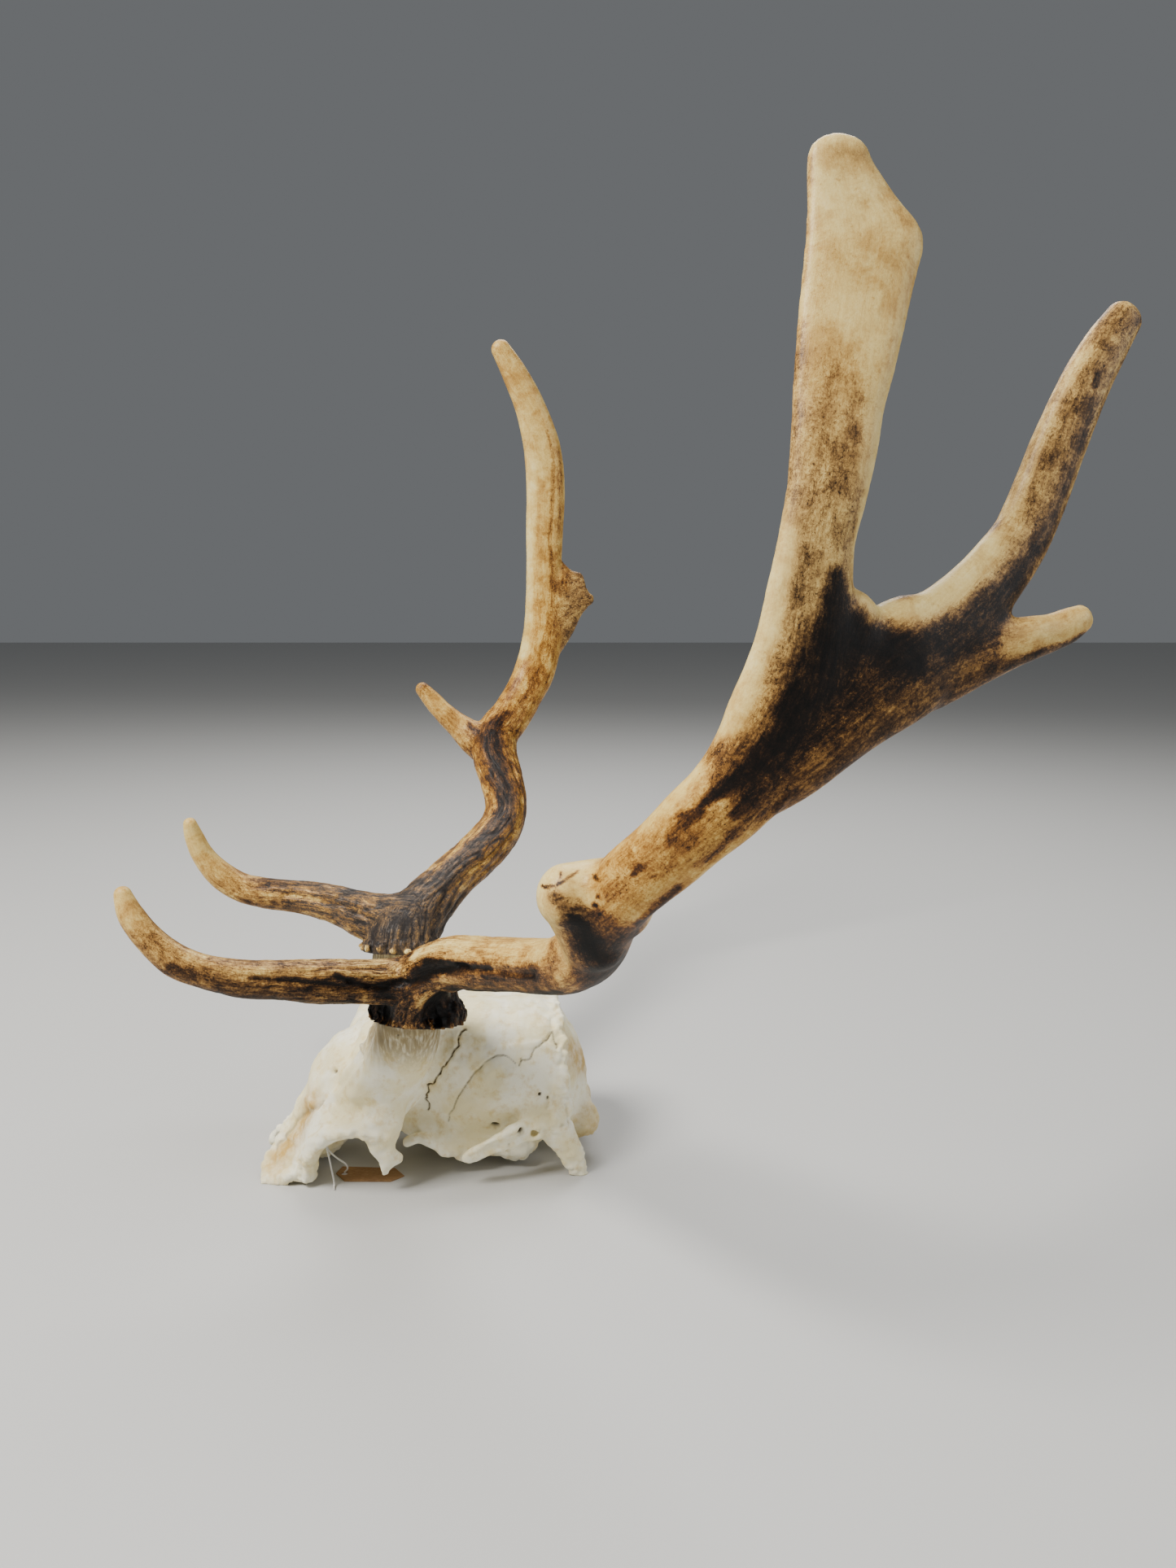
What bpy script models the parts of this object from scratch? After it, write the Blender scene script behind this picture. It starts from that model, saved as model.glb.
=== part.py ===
"""Deer skull without its face, carrying a pair of uneven antlers.

The skull rests on its broken cheek edges and on the two processes beside the neck joint.
The animal looks along -X. Its left side is at -Y and its right side at +Y. +Z is up.
The origin is at the bottom centre of the whole object. Tables are in millimetres.
"""

import math

import bmesh
import bpy
from mathutils import Matrix, Vector

MM = 0.001
GAP = 0.3                     # clear space between neighbouring pieces
RING_SIDES = 20               # corners of one cross-section
RING_SPACING = 4.0            # distance between two cross-sections along a branch
ANTLER_VOXEL = 2.0
SKULL_VOXEL = 1.5

# Burr: the knobbly collar between the bone stalk (pedicle) and the antler.
BURR_RADIUS = 22.0
BURR_HEIGHT = 9.0
BURR_BEADS = 17
BURR_BEAD_RADIUS = 3.6
# The joint between pedicle and burr: the left one stands a little further back and higher.
BURR_JOINT = {-1: (-57.5, -53.0, 98.5), 1: (-65.5, 53.0, 94.5)}
BURR_LEAN = 0.15              # how far the burr's axis leans outwards for each unit of rise

# One row is one cross-section: x, y, z, half width, half thickness, facing.
# Facing is the heading of the flat side about Z, in degrees: 270 looks along -Y.
LEFT_BEAM = [
    (-58.0, -54.0, 97.0, 20.0, 20.0, 205), (-58.0, -56.5, 106.0, 19.5, 19.5, 205),
    (-57.5, -62.0, 115.0, 17.0, 17.0, 205), (-52.0, -73.0, 126.0, 13.5, 13.5, 205),
    (-42.5, -90.0, 135.0, 11.5, 12.0, 205), (-29.0, -114.0, 143.0, 11.7, 12.5, 205),
    (-16.5, -138.0, 150.5, 11.5, 12.5, 205), (-5.5, -162.0, 157.5, 11.5, 12.3, 207),
    (1.0, -180.0, 165.5, 12.3, 12.8, 215), (5.5, -194.0, 176.0, 13.0, 13.0, 225),
    (8.0, -210.0, 192.0, 13.0, 12.5, 240), (14.0, -226.0, 207.5, 13.0, 11.5, 250),
    (24.0, -238.0, 221.0, 13.0, 11.0, 258), (32.0, -246.0, 232.0, 13.5, 10.5, 262),
    (42.0, -251.0, 243.0, 14.5, 10.0, 265), (49.0, -254.0, 255.0, 15.0, 9.0, 268),
    (55.0, -256.0, 267.0, 17.0, 8.0, 270), (60.0, -257.0, 280.0, 17.0, 7.5, 270),
    (63.0, -258.0, 295.5, 15.5, 6.5, 270), (65.5, -258.0, 316.0, 13.5, 5.8, 270),
    (67.0, -257.0, 328.5, 13.0, 5.6, 270), (69.5, -256.0, 341.0, 13.5, 5.6, 270),
    (72.0, -254.0, 356.0, 15.0, 5.5, 270), (74.5, -251.0, 371.5, 16.5, 5.4, 270),
    (77.5, -248.0, 386.5, 17.5, 5.2, 270), (79.5, -245.0, 399.5, 18.0, 5.0, 270),
    (80.0, -243.0, 412.0, 18.0, 4.8, 270), (79.0, -240.0, 425.0, 16.5, 4.6, 270),
    (77.0, -238.0, 436.5, 13.5, 4.4, 270), (75.0, -237.0, 443.5, 10.8, 4.2, 270),
]
LEFT_BROW = [
    (-57.5, -64.0, 119.5, 12.5, 12.5, 270), (-69.0, -66.0, 120.5, 11.5, 11.5, 270),
    (-80.5, -70.0, 122.5, 10.5, 10.0, 270), (-92.0, -74.0, 124.5, 10.5, 10.0, 270),
    (-108.0, -80.0, 127.5, 10.0, 9.5, 270), (-124.0, -85.0, 130.5, 9.0, 8.5, 270),
    (-140.0, -88.0, 133.0, 8.5, 8.0, 270), (-156.0, -89.0, 137.5, 7.5, 7.0, 270),
    (-168.5, -88.0, 143.0, 7.5, 6.5, 270), (-179.5, -86.0, 153.0, 6.5, 6.0, 270),
    (-187.0, -84.0, 163.5, 5.8, 5.3, 270), (-190.5, -82.0, 172.5, 4.0, 3.9, 270),
]
LEFT_KNOB = [
    (13.0, -211.0, 199.0, 14.0, 12.0, 250), (3.0, -212.5, 200.5, 12.0, 11.5, 250),
    (-5.5, -214.0, 201.0, 11.2, 10.8, 250),
]
LEFT_WEB = [
    (60.0, -256.0, 268.0, 14.0, 7.5, 270), (75.0, -255.5, 284.0, 16.5, 6.5, 270),
    (84.0, -254.5, 293.5, 14.5, 6.0, 270), (89.0, -253.0, 299.0, 11.5, 5.5, 270),
]
LEFT_REAR = [
    (44.5, -252.0, 243.5, 12.5, 7.0, 270), (58.0, -255.0, 255.0, 15.5, 7.5, 270),
    (76.5, -255.0, 271.5, 17.0, 7.5, 270), (97.5, -252.0, 285.0, 17.5, 7.2, 270),
    (114.5, -247.0, 296.0, 16.0, 6.8, 270), (128.5, -242.0, 307.5, 13.0, 6.2, 270),
    (141.5, -236.0, 322.0, 10.5, 5.8, 270), (150.0, -232.0, 334.0, 10.2, 5.7, 270),
    (156.0, -230.0, 347.5, 10.2, 5.6, 270), (162.0, -228.0, 361.5, 9.8, 5.5, 270),
    (168.5, -226.0, 376.0, 9.0, 5.3, 270), (176.0, -224.0, 389.0, 8.2, 5.0, 270),
    (183.0, -222.0, 399.0, 7.2, 4.8, 270), (187.0, -221.0, 405.0, 5.2, 4.4, 270),
]
LEFT_SHORT = [
    (112.0, -247.0, 284.5, 13.0, 6.2, 270), (128.0, -245.0, 288.0, 11.5, 5.6, 270),
    (141.0, -243.0, 292.0, 9.0, 5.2, 270), (148.5, -242.0, 293.5, 7.4, 4.9, 270),
    (157.5, -240.0, 295.5, 6.6, 4.7, 270), (164.5, -239.0, 298.5, 5.6, 4.4, 270),
    (169.0, -238.0, 302.0, 4.3, 4.0, 270),
]
LEFT_CORNER = [
    (80.5, -243.0, 407.5, 11.0, 4.8, 270), (88.5, -243.0, 414.0, 11.0, 4.4, 270),
    (97.5, -243.0, 419.5, 9.0, 4.2, 270),
]
RIGHT_BEAM = [
    (-66.0, 54.0, 97.0, 20.0, 20.0, 155), (-66.0, 56.5, 105.0, 20.0, 19.5, 155),
    (-63.5, 62.0, 111.0, 18.5, 18.5, 155), (-52.0, 80.0, 121.0, 15.0, 15.5, 155),
    (-36.0, 108.0, 130.0, 13.3, 14.0, 155), (-15.5, 145.0, 138.0, 13.3, 15.0, 150),
    (-1.5, 172.0, 148.5, 13.3, 14.5, 140), (3.0, 190.0, 161.0, 13.6, 14.0, 130),
    (2.0, 206.0, 175.5, 13.8, 14.0, 120), (-1.0, 222.0, 191.0, 13.8, 13.5, 110),
    (1.0, 235.0, 203.5, 14.0, 12.5, 100), (11.0, 244.0, 216.5, 13.8, 11.5, 95),
    (21.5, 250.0, 233.0, 13.5, 11.0, 90), (30.0, 254.0, 250.0, 14.5, 11.0, 90),
    (36.0, 256.0, 275.0, 14.5, 10.0, 90), (37.0, 257.0, 298.5, 13.5, 9.0, 90),
    (37.0, 257.0, 322.5, 13.0, 8.5, 90), (37.5, 256.0, 351.5, 13.6, 8.5, 90),
    (38.0, 254.0, 380.5, 14.0, 8.0, 90), (35.0, 251.0, 408.5, 13.3, 7.2, 90),
    (26.5, 248.0, 435.0, 11.0, 6.8, 90), (15.5, 245.0, 457.0, 9.2, 6.3, 90),
    (5.0, 243.0, 474.0, 6.8, 5.7, 90),
]
RIGHT_BROW = [
    (-65.0, 62.0, 114.0, 16.5, 16.5, 90), (-76.5, 65.0, 115.0, 15.0, 15.0, 90),
    (-87.5, 69.0, 116.0, 14.0, 13.0, 90), (-99.5, 73.0, 120.0, 12.0, 11.5, 90),
    (-114.0, 78.0, 123.5, 10.5, 10.0, 90), (-131.0, 83.0, 126.0, 9.5, 9.0, 90),
    (-148.0, 86.0, 127.5, 9.0, 8.5, 90), (-163.0, 88.0, 131.0, 8.5, 8.0, 90),
    (-175.5, 88.0, 139.5, 8.0, 7.0, 90), (-184.5, 87.0, 151.5, 6.5, 6.0, 90),
    (-189.0, 85.0, 164.0, 5.4, 4.9, 90), (-190.5, 83.0, 171.5, 4.0, 3.9, 90),
]
RIGHT_TREZ = [
    (-1.0, 230.0, 194.0, 14.0, 12.5, 90), (-15.0, 233.0, 201.5, 11.0, 9.5, 90),
    (-27.0, 237.0, 209.5, 8.7, 7.7, 90), (-38.5, 240.0, 219.5, 7.4, 6.8, 90),
    (-46.5, 242.0, 228.5, 6.6, 6.0, 90), (-53.0, 243.0, 236.0, 5.2, 5.0, 90),
]
RIGHT_SPUR = [
    (40.0, 257.0, 300.0, 26.0, 8.0, 90), (52.0, 257.0, 303.0, 20.0, 6.0, 90),
    (60.0, 257.0, 308.0, 14.0, 4.8, 90), (66.5, 257.0, 311.0, 9.0, 4.0, 90),
]

# Saw cuts part each antler at its forks: centre, direction along the branch, blade size.
LEFT_CUTS = [
    ((-84.0, -71.0, 123.0), (-0.94, -0.31, 0.17), 36.0),
    ((6.0, -199.0, 181.0), (0.20, -0.70, 0.68), 44.0),
    ((65.5, -258.0, 311.0), (0.05, 0.03, 1.00), 40.0),
    ((141.5, -236.0, 322.0), (0.63, 0.27, 0.73), 30.0),
    ((148.5, -242.0, 294.5), (0.98, 0.10, 0.10), 24.0),
]
RIGHT_CUTS = [
    ((-93.0, 71.0, 118.0), (-0.94, 0.31, 0.20), 40.0),
    ((0.5, 218.0, 187.5), (-0.08, 0.74, 0.67), 46.0),
    ((-20.0, 235.5, 209.5), (-0.90, 0.20, 0.40), 28.0),
]
# Each piece between the cuts takes the name whose point lies nearest its middle.
LEFT_PIECES = {
    "left_lower_beam": (-35, -110, 140), "left_brow_tine": (-135, -84, 132),
    "left_upper_beam": (70, -248, 260), "left_blade": (75, -247, 380),
    "left_rear_tine": (162, -228, 362), "left_short_tine": (160, -240, 297),
}
RIGHT_PIECES = {
    "right_lower_beam": (-35, 130, 140), "right_brow_tine": (-145, 82, 130),
    "right_upper_beam": (30, 253, 320), "right_trez_tine": (-38, 239, 220),
}

# The skull's shapes have rows like a branch's. Those with a y are mirrored to the other side.
BRAINCASE = [
    (-64.0, 0.0, 55.0, 26.0, 27.0, 90), (-56.0, 0.0, 52.0, 35.0, 31.0, 90),
    (-46.0, 0.0, 50.5, 38.5, 35.5, 90), (-34.0, 0.0, 50.0, 39.5, 38.5, 90),
    (-20.0, 0.0, 49.5, 40.0, 40.5, 90), (-6.0, 0.0, 49.0, 40.0, 41.0, 90),
    (5.0, 0.0, 49.0, 38.8, 39.5, 90), (13.0, 0.0, 48.5, 36.5, 36.5, 90),
    (18.0, 0.0, 46.0, 33.5, 32.0, 90), (24.0, 0.0, 41.5, 28.5, 24.5, 90),
    (29.0, 0.0, 36.5, 20.0, 17.0, 90), (32.5, 0.0, 32.0, 10.0, 10.0, 90),
]
SKULL_BASE = [
    (-74.0, 0.0, 27.0, 9.0, 18.0, 90), (-58.0, 0.0, 23.0, 11.5, 29.0, 90),
    (-42.0, 0.0, 18.5, 12.0, 31.0, 90), (-20.0, 0.0, 15.5, 11.0, 32.0, 90),
    (0.0, 0.0, 16.0, 9.0, 26.0, 90), (22.0, 0.0, 18.0, 7.0, 15.0, 90),
]
NASAL_CORE = [
    (-115.0, 0.0, 23.0, 20.0, 25.0, 90), (-111.0, 0.0, 27.0, 25.0, 22.0, 90),
    (-105.0, 0.0, 35.0, 29.0, 18.5, 90), (-95.0, 0.0, 43.0, 28.0, 20.0, 90),
    (-80.0, 0.0, 50.0, 31.0, 24.0, 90),
    (-60.0, 0.0, 52.0, 31.0, 28.0, 90),
]
PEDICLE = [
    (-75.0, 28.0, 50.0, 24.0, 25.0, 0), (-72.5, 37.0, 65.0, 21.5, 22.5, 0),
    (-68.0, 45.0, 79.0, 18.5, 18.5, 0), (-63.5, 50.5, 91.0, 16.5, 16.5, 0),
    (-61.5, 53.0, 100.0, 16.5, 16.5, 0), (-61.5, 54.0, 106.0, 16.5, 16.5, 0),
]
EYE_RIM = [
    (-74.0, 46.0, 48.0, 7.0, 5.5, 90), (-86.0, 48.0, 40.0, 5.5, 4.5, 90),
    (-97.0, 47.5, 37.0, 4.8, 4.2, 90), (-107.0, 44.0, 33.0, 4.8, 4.0, 90),
    (-114.5, 39.0, 25.0, 5.0, 4.0, 90), (-118.0, 34.0, 14.0, 5.5, 4.0, 90),
    (-120.0, 30.0, 4.0, 6.0, 4.0, 90),
]
EYE_BAR = [
    (-73.0, 42.0, 58.0, 12.0, 6.0, 90), (-77.0, 47.0, 42.0, 9.5, 5.0, 90),
    (-76.0, 48.0, 28.0, 8.0, 4.2, 90), (-75.0, 46.5, 18.0, 6.0, 3.6, 90),
    (-75.0, 45.0, 11.0, 3.5, 3.0, 90),
]
CHEEK_STUB = [
    (0.0, 38.0, 31.0, 6.0, 5.0, 90), (-9.0, 45.0, 29.5, 5.0, 4.0, 90),
    (-21.0, 48.5, 26.5, 4.2, 3.4, 90), (-31.0, 48.0, 21.5, 3.8, 3.0, 90),
    (-37.0, 46.5, 17.5, 3.2, 2.6, 90),
]
EAR_TUBE = [
    (-2.0, 34.0, 27.0, 5.5, 5.5, 0), (-2.0, 44.0, 28.0, 5.0, 5.0, 0),
]
EAR_HOLE_RADIUS = 2.4
NECK_PROCESS = [
    (7.0, 38.0, 33.0, 10.0, 5.5, 90), (13.5, 38.5, 22.0, 8.5, 4.8, 90),
    (20.0, 38.5, 10.0, 6.8, 4.0, 90), (24.0, 38.0, 1.0, 5.0, 3.6, 90),
    (25.0, 38.0, -4.0, 4.6, 3.4, 90),
]
NECK_CREST = [
    (9.0, -39.5, 30.0, 4.0, 4.0, 0), (13.0, -37.0, 48.0, 3.6, 3.6, 0),
    (14.5, -31.0, 64.0, 3.6, 3.6, 0), (13.5, -18.0, 78.5, 3.6, 3.6, 0),
    (13.0, 0.0, 83.0, 3.6, 3.6, 0), (13.5, 18.0, 78.5, 3.6, 3.6, 0),
    (14.5, 31.0, 64.0, 3.6, 3.6, 0), (13.0, 37.0, 48.0, 3.6, 3.6, 0),
    (9.0, 39.5, 30.0, 4.0, 4.0, 0),
]
# Round swellings on each side: the ear capsule, the neck-joint knuckle and the ear's rear boss.
SKULL_BALLS = [
    ((-9.0, 24.0, 14.0), (13.0, 9.5, 11.0)), ((28.0, 13.0, 20.5), (10.5, 9.0, 11.0)),
    ((8.0, 38.0, 32.0), (8.0, 5.5, 8.0)),
]
NECK_HOLE = (42.0, 0.0, 36.0)
NECK_HOLE_RADIUS = 9.0
# Forehead rows: x, then heights at the midline, at two steps out and at the edge, half width.
ROOF = [
    (-62.0, 89.0, 88.0, 80.0, 58.0, 44.0), (-74.0, 86.0, 84.0, 74.0, 50.0, 49.0),
    (-84.0, 81.5, 79.0, 68.0, 42.0, 50.0), (-97.0, 72.5, 69.0, 56.0, 38.0, 49.0),
    (-107.0, 65.5, 61.0, 48.0, 33.0, 45.5), (-117.0, 54.0, 48.0, 37.0, 25.0, 41.0),
    (-121.5, 41.0, 34.0, 24.0, 13.0, 36.5), (-131.5, 24.0, 20.0, 13.0, 4.0, 32.0),
    (-144.0, 9.0, 7.5, 4.0, 0.0, 27.0),
]
PLATE_THICKNESS = 7.0

# The label lies on the table; the string runs from its hole over the rim to a loose end.
TAG_OUTLINE = [
    (-105.0, -21.5), (-102.0, -14.5), (-74.0, -20.0), (-69.0, -29.0), (-76.0, -34.0),
    (-100.0, -30.5),
]
TAG_THICKNESS = 0.6
TAG_HOLE = (-100.5, -22.5)
TAG_HOLE_RADIUS = 1.8
STRING_DIAMETER = 0.9
STRING_STEPS = 3
STRING_ROUTE = [
    (-100.5, -22.5, 1.3), (-98.8, -23.8, 4.0), (-99.8, -26.0, 8.0), (-103.5, -28.6, 12.5),
    (-107.0, -30.8, 17.5), (-108.6, -32.0, 21.5), (-109.3, -33.4, 23.6), (-108.8, -34.9, 22.8),
    (-107.8, -35.2, 19.0), (-107.0, -34.6, 14.0), (-106.3, -34.0, 9.0), (-105.6, -33.8, 4.5),
    (-105.2, -34.6, 1.7), (-105.1, -36.6, 0.75), (-104.9, -39.0, 0.75),
]

SKULL_TRIANGLES = 2900
LEFT_TRIANGLES = 2700
RIGHT_TRIANGLES = 1950


def clear_scene():
    for thing in list(bpy.data.objects):
        bpy.data.objects.remove(thing, do_unlink=True)


def make_material(name, colour, roughness):
    material = bpy.data.materials.new(name)
    material.use_nodes = True
    shader = material.node_tree.nodes["Principled BSDF"]
    shader.inputs["Base Color"].default_value = (*colour, 1.0)
    shader.inputs["Roughness"].default_value = roughness
    shader.inputs["Metallic"].default_value = 0.0
    material.diffuse_color = (*colour, 1.0)
    return material


def add_object(name, mesh):
    thing = bpy.data.objects.new(name, mesh)
    bpy.context.scene.collection.objects.link(thing)
    return thing


def mesh_from(bm, name):
    bmesh.ops.recalc_face_normals(bm, faces=bm.faces)
    mesh = bpy.data.meshes.new(name)
    bm.to_mesh(mesh)
    bm.free()
    return mesh


def between(row_a, row_b, row_c, row_d, t):
    """Catmull-Rom value between the two middle rows of a table."""
    values = []
    for a, b, c, d in zip(row_a, row_b, row_c, row_d):
        bend = (c - a) * t + (2 * a - 5 * b + 4 * c - d) * t ** 2 + (3 * b - a - 3 * c + d) * t ** 3
        values.append(b + 0.5 * bend)
    return values


def fine_rows(rows):
    """Cross-sections about RING_SPACING apart on a smooth curve through the given ones."""
    rows = [tuple(row) for row in rows]
    ends = [rows[0]] + rows + [rows[-1]]
    fine = []
    for i in range(len(rows) - 1):
        length = math.dist(rows[i][:3], rows[i + 1][:3])
        steps = max(1, round(length / RING_SPACING))
        for step in range(steps):
            fine.append(between(*ends[i:i + 4], step / steps))
    fine.append(list(rows[-1]))
    return fine


def add_ring(bm, centre, across, normal, half_width, half_thickness, fullness=2.3):
    """A closed ring of points; fullness 2 is an ellipse, and more squares it off."""
    ring = []
    for i in range(RING_SIDES):
        angle = 2 * math.pi * i / RING_SIDES
        u, v = math.cos(angle), math.sin(angle)
        reach = (abs(u) ** fullness + abs(v) ** fullness) ** (-1 / fullness)
        point = centre + across * (half_width * u * reach) + normal * (half_thickness * v * reach)
        ring.append(bm.verts.new(point * MM))
    return ring


def add_branch(bm, rows, fullness=2.3, cap=1.0, straight=None):
    """A lofted branch whose round ends stick out by cap times their radius.

    Its cross-sections stand square to the path, or all to the straight direction if given.
    """
    rows = fine_rows(rows)
    centres = [Vector(row[:3]) for row in rows]
    frames = []
    for i, row in enumerate(rows):
        along = (centres[min(i + 1, len(rows) - 1)] - centres[max(i - 1, 0)]).normalized()
        if straight:
            along = Vector(straight)
        heading = math.radians(row[5])
        normal = Vector((math.cos(heading), math.sin(heading), 0.0))
        normal = (normal - along * normal.dot(along)).normalized()
        frames.append((along, along.cross(normal), normal))
    rings = []
    round_steps = (70, 45, 22)
    for angle in round_steps:
        along, across, normal = frames[0]
        half_width, half_thickness = rows[0][3:5]
        scale = math.cos(math.radians(angle))
        back = cap * min(half_width, half_thickness) * math.sin(math.radians(angle))
        rings.append(add_ring(bm, centres[0] - along * back, across, normal,
                              half_width * scale, half_thickness * scale, fullness))
    for row, centre, (along, across, normal) in zip(rows, centres, frames):
        rings.append(add_ring(bm, centre, across, normal, row[3], row[4], fullness))
    for angle in reversed(round_steps):
        along, across, normal = frames[-1]
        half_width, half_thickness = rows[-1][3:5]
        scale = math.cos(math.radians(angle))
        forth = cap * 0.5 * (half_width + half_thickness) * math.sin(math.radians(angle))
        rings.append(add_ring(bm, centres[-1] + along * forth, across, normal,
                              half_width * scale, half_thickness * scale, fullness))
    for ring_a, ring_b in zip(rings, rings[1:]):
        for i in range(RING_SIDES):
            j = (i + 1) % RING_SIDES
            bm.faces.new((ring_a[i], ring_a[j], ring_b[j], ring_b[i]))
    bm.faces.new(reversed(rings[0]))
    bm.faces.new(rings[-1])


def add_ball(bm, centre, radii, detail=2):
    ball = bmesh.ops.create_icosphere(bm, subdivisions=detail, radius=1.0)["verts"]
    bmesh.ops.scale(bm, vec=Vector(radii) * MM, verts=ball)
    bmesh.ops.translate(bm, vec=Vector(centre) * MM, verts=ball)


def apply_modifiers(thing):
    old = thing.data
    depsgraph = bpy.context.evaluated_depsgraph_get()
    thing.data = bpy.data.meshes.new_from_object(thing.evaluated_get(depsgraph))
    thing.modifiers.clear()
    bpy.data.meshes.remove(old)


def fuse(thing, voxel, smoothing, target_triangles):
    """Overlapping closed shapes become one skin, smoothed and thinned to the target."""
    remesh = thing.modifiers.new("fuse", "REMESH")
    remesh.mode = "VOXEL"
    remesh.voxel_size = voxel * MM
    smooth = thing.modifiers.new("soften", "SMOOTH")
    smooth.factor = 0.5
    smooth.iterations = smoothing
    apply_modifiers(thing)
    triangles = sum(len(face.vertices) - 2 for face in thing.data.polygons)
    thin = thing.modifiers.new("thin", "DECIMATE")
    thin.ratio = min(1.0, target_triangles / triangles)
    thin.use_collapse_triangulate = True
    apply_modifiers(thing)


def boolean(thing, cutter, operation="DIFFERENCE"):
    modifier = thing.modifiers.new("cut", "BOOLEAN")
    modifier.operation = operation
    modifier.object = cutter
    modifier.solver = "EXACT"
    apply_modifiers(thing)
    bpy.data.objects.remove(cutter, do_unlink=True)


def box_cutter(centre, along, size, depth, offset=0.0):
    """A square block whose middle lies offset along the direction from the centre."""
    along = Vector(along).normalized()
    bm = bmesh.new()
    bmesh.ops.create_cube(bm, size=1.0)
    bmesh.ops.scale(bm, vec=Vector((size, size, depth)) * MM, verts=bm.verts)
    place = Matrix.Translation((Vector(centre) + along * offset) * MM)
    turn = along.to_track_quat("Z", "Y").to_matrix().to_4x4()
    bmesh.ops.transform(bm, matrix=place @ turn, verts=bm.verts)
    return add_object("cutter", mesh_from(bm, "cutter"))


def burr_axis(side):
    return Vector((0.05, side * BURR_LEAN, 1.0)).normalized()


def burr_centre(side):
    return Vector(BURR_JOINT[side])


def add_burr(bm, side):
    """The collar: a low disc with a ring of beads on its rim."""
    axis = burr_axis(side)
    across = axis.orthogonal().normalized()
    other = axis.cross(across)
    low = burr_centre(side) - axis * 3.0
    high = burr_centre(side) + axis * BURR_HEIGHT
    heading = math.degrees(math.atan2(across.y, across.x))
    rows = [(*low, BURR_RADIUS - 1.5, BURR_RADIUS - 1.5, heading),
            (*high, BURR_RADIUS - 2.5, BURR_RADIUS - 2.5, heading)]
    add_branch(bm, rows, fullness=2.0)
    for i in range(BURR_BEADS):
        angle = 2 * math.pi * i / BURR_BEADS
        rim = across * math.cos(angle) + other * math.sin(angle)
        wobble = 0.8 * math.sin(5 * angle)
        centre = burr_centre(side) + rim * (BURR_RADIUS - 1.5 + 0.5 * wobble) + axis * (4.0 + wobble)
        add_ball(bm, centre, [BURR_BEAD_RADIUS + 0.5 * math.sin(3 * angle)] * 3)


def make_antler(side, branches, cuts, pieces, target, material):
    bm = bmesh.new()
    for rows in branches:
        add_branch(bm, rows)
    add_burr(bm, side)
    antler = add_object("antler", mesh_from(bm, "antler"))
    fuse(antler, ANTLER_VOXEL, 4, target)
    below = box_cutter(burr_centre(side), burr_axis(side), 90.0, 40.0, offset=-20.0 + GAP / 2)
    boolean(antler, below)
    for centre, along, size in cuts:
        boolean(antler, box_cutter(centre, along, size, GAP))
    split_into_pieces(antler, pieces, material)


def loose_parts(mesh):
    """The mesh's connected parts, each as a sorted list of vertex numbers."""
    neighbours = [[] for _ in mesh.vertices]
    for edge in mesh.edges:
        start, end = edge.vertices
        neighbours[start].append(end)
        neighbours[end].append(start)
    parts = []
    seen = [False] * len(neighbours)
    for first in range(len(neighbours)):
        if seen[first]:
            continue
        seen[first] = True
        front, part = [first], []
        while front:
            here = front.pop()
            part.append(here)
            for other in neighbours[here]:
                if not seen[other]:
                    seen[other] = True
                    front.append(other)
        parts.append(sorted(part))
    return parts


def split_into_pieces(thing, pieces, material):
    """Each loose part of the mesh becomes the object whose point is nearest."""
    mesh = thing.data
    for part in loose_parts(mesh):
        bm = bmesh.new()
        copies = {number: bm.verts.new(mesh.vertices[number].co) for number in part}
        for face in mesh.polygons:
            if face.vertices[0] in copies:
                bm.faces.new([copies[number] for number in face.vertices])
        middle = sum((vert.co for vert in bm.verts), Vector()) / len(part) / MM
        name = min(pieces, key=lambda key: (middle - Vector(pieces[key])).length)
        finish_piece(add_object(name, mesh_from(bm, name)), material)
    bpy.data.objects.remove(thing, do_unlink=True)


def finish_piece(piece, material):
    piece.data.materials.clear()
    piece.data.materials.append(material)
    piece.data.shade_smooth()
    piece.data.set_sharp_from_angle(angle=math.radians(50))


def add_plate(bm):
    """The forehead: a sheet laid through the roof table and given its thickness downwards."""
    fractions = [-1.0, -0.66, -0.33, 0.0, 0.33, 0.66, 1.0]
    top, low = [], []
    for x, middle, inner, outer, rim, half_width in ROOF:
        heights = [rim, outer, inner, middle, inner, outer, rim]
        row_top, row_low = [], []
        for fraction, height in zip(fractions, heights):
            point = Vector((x, fraction * half_width, height))
            inward = Vector((0.55, -0.25 * fraction, -0.80)) * PLATE_THICKNESS
            row_top.append(bm.verts.new(point * MM))
            row_low.append(bm.verts.new((point + inward) * MM))
        top.append(row_top)
        low.append(row_low)
    last_row, last_column = len(ROOF) - 1, len(fractions) - 1
    for i in range(last_row):
        for j in range(last_column):
            bm.faces.new((top[i][j], top[i][j + 1], top[i + 1][j + 1], top[i + 1][j]))
            bm.faces.new((low[i][j], low[i + 1][j], low[i + 1][j + 1], low[i][j + 1]))
    for j in range(last_column):
        bm.faces.new((top[0][j + 1], top[0][j], low[0][j], low[0][j + 1]))
        bm.faces.new((top[last_row][j], top[last_row][j + 1], low[last_row][j + 1], low[last_row][j]))
    for i in range(last_row):
        bm.faces.new((top[i][0], top[i + 1][0], low[i + 1][0], low[i][0]))
        bm.faces.new((top[i + 1][last_column], top[i][last_column],
                      low[i][last_column], low[i + 1][last_column]))


def on_side(rows, side):
    return [(row[0], side * row[1], *row[2:]) for row in rows]


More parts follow.
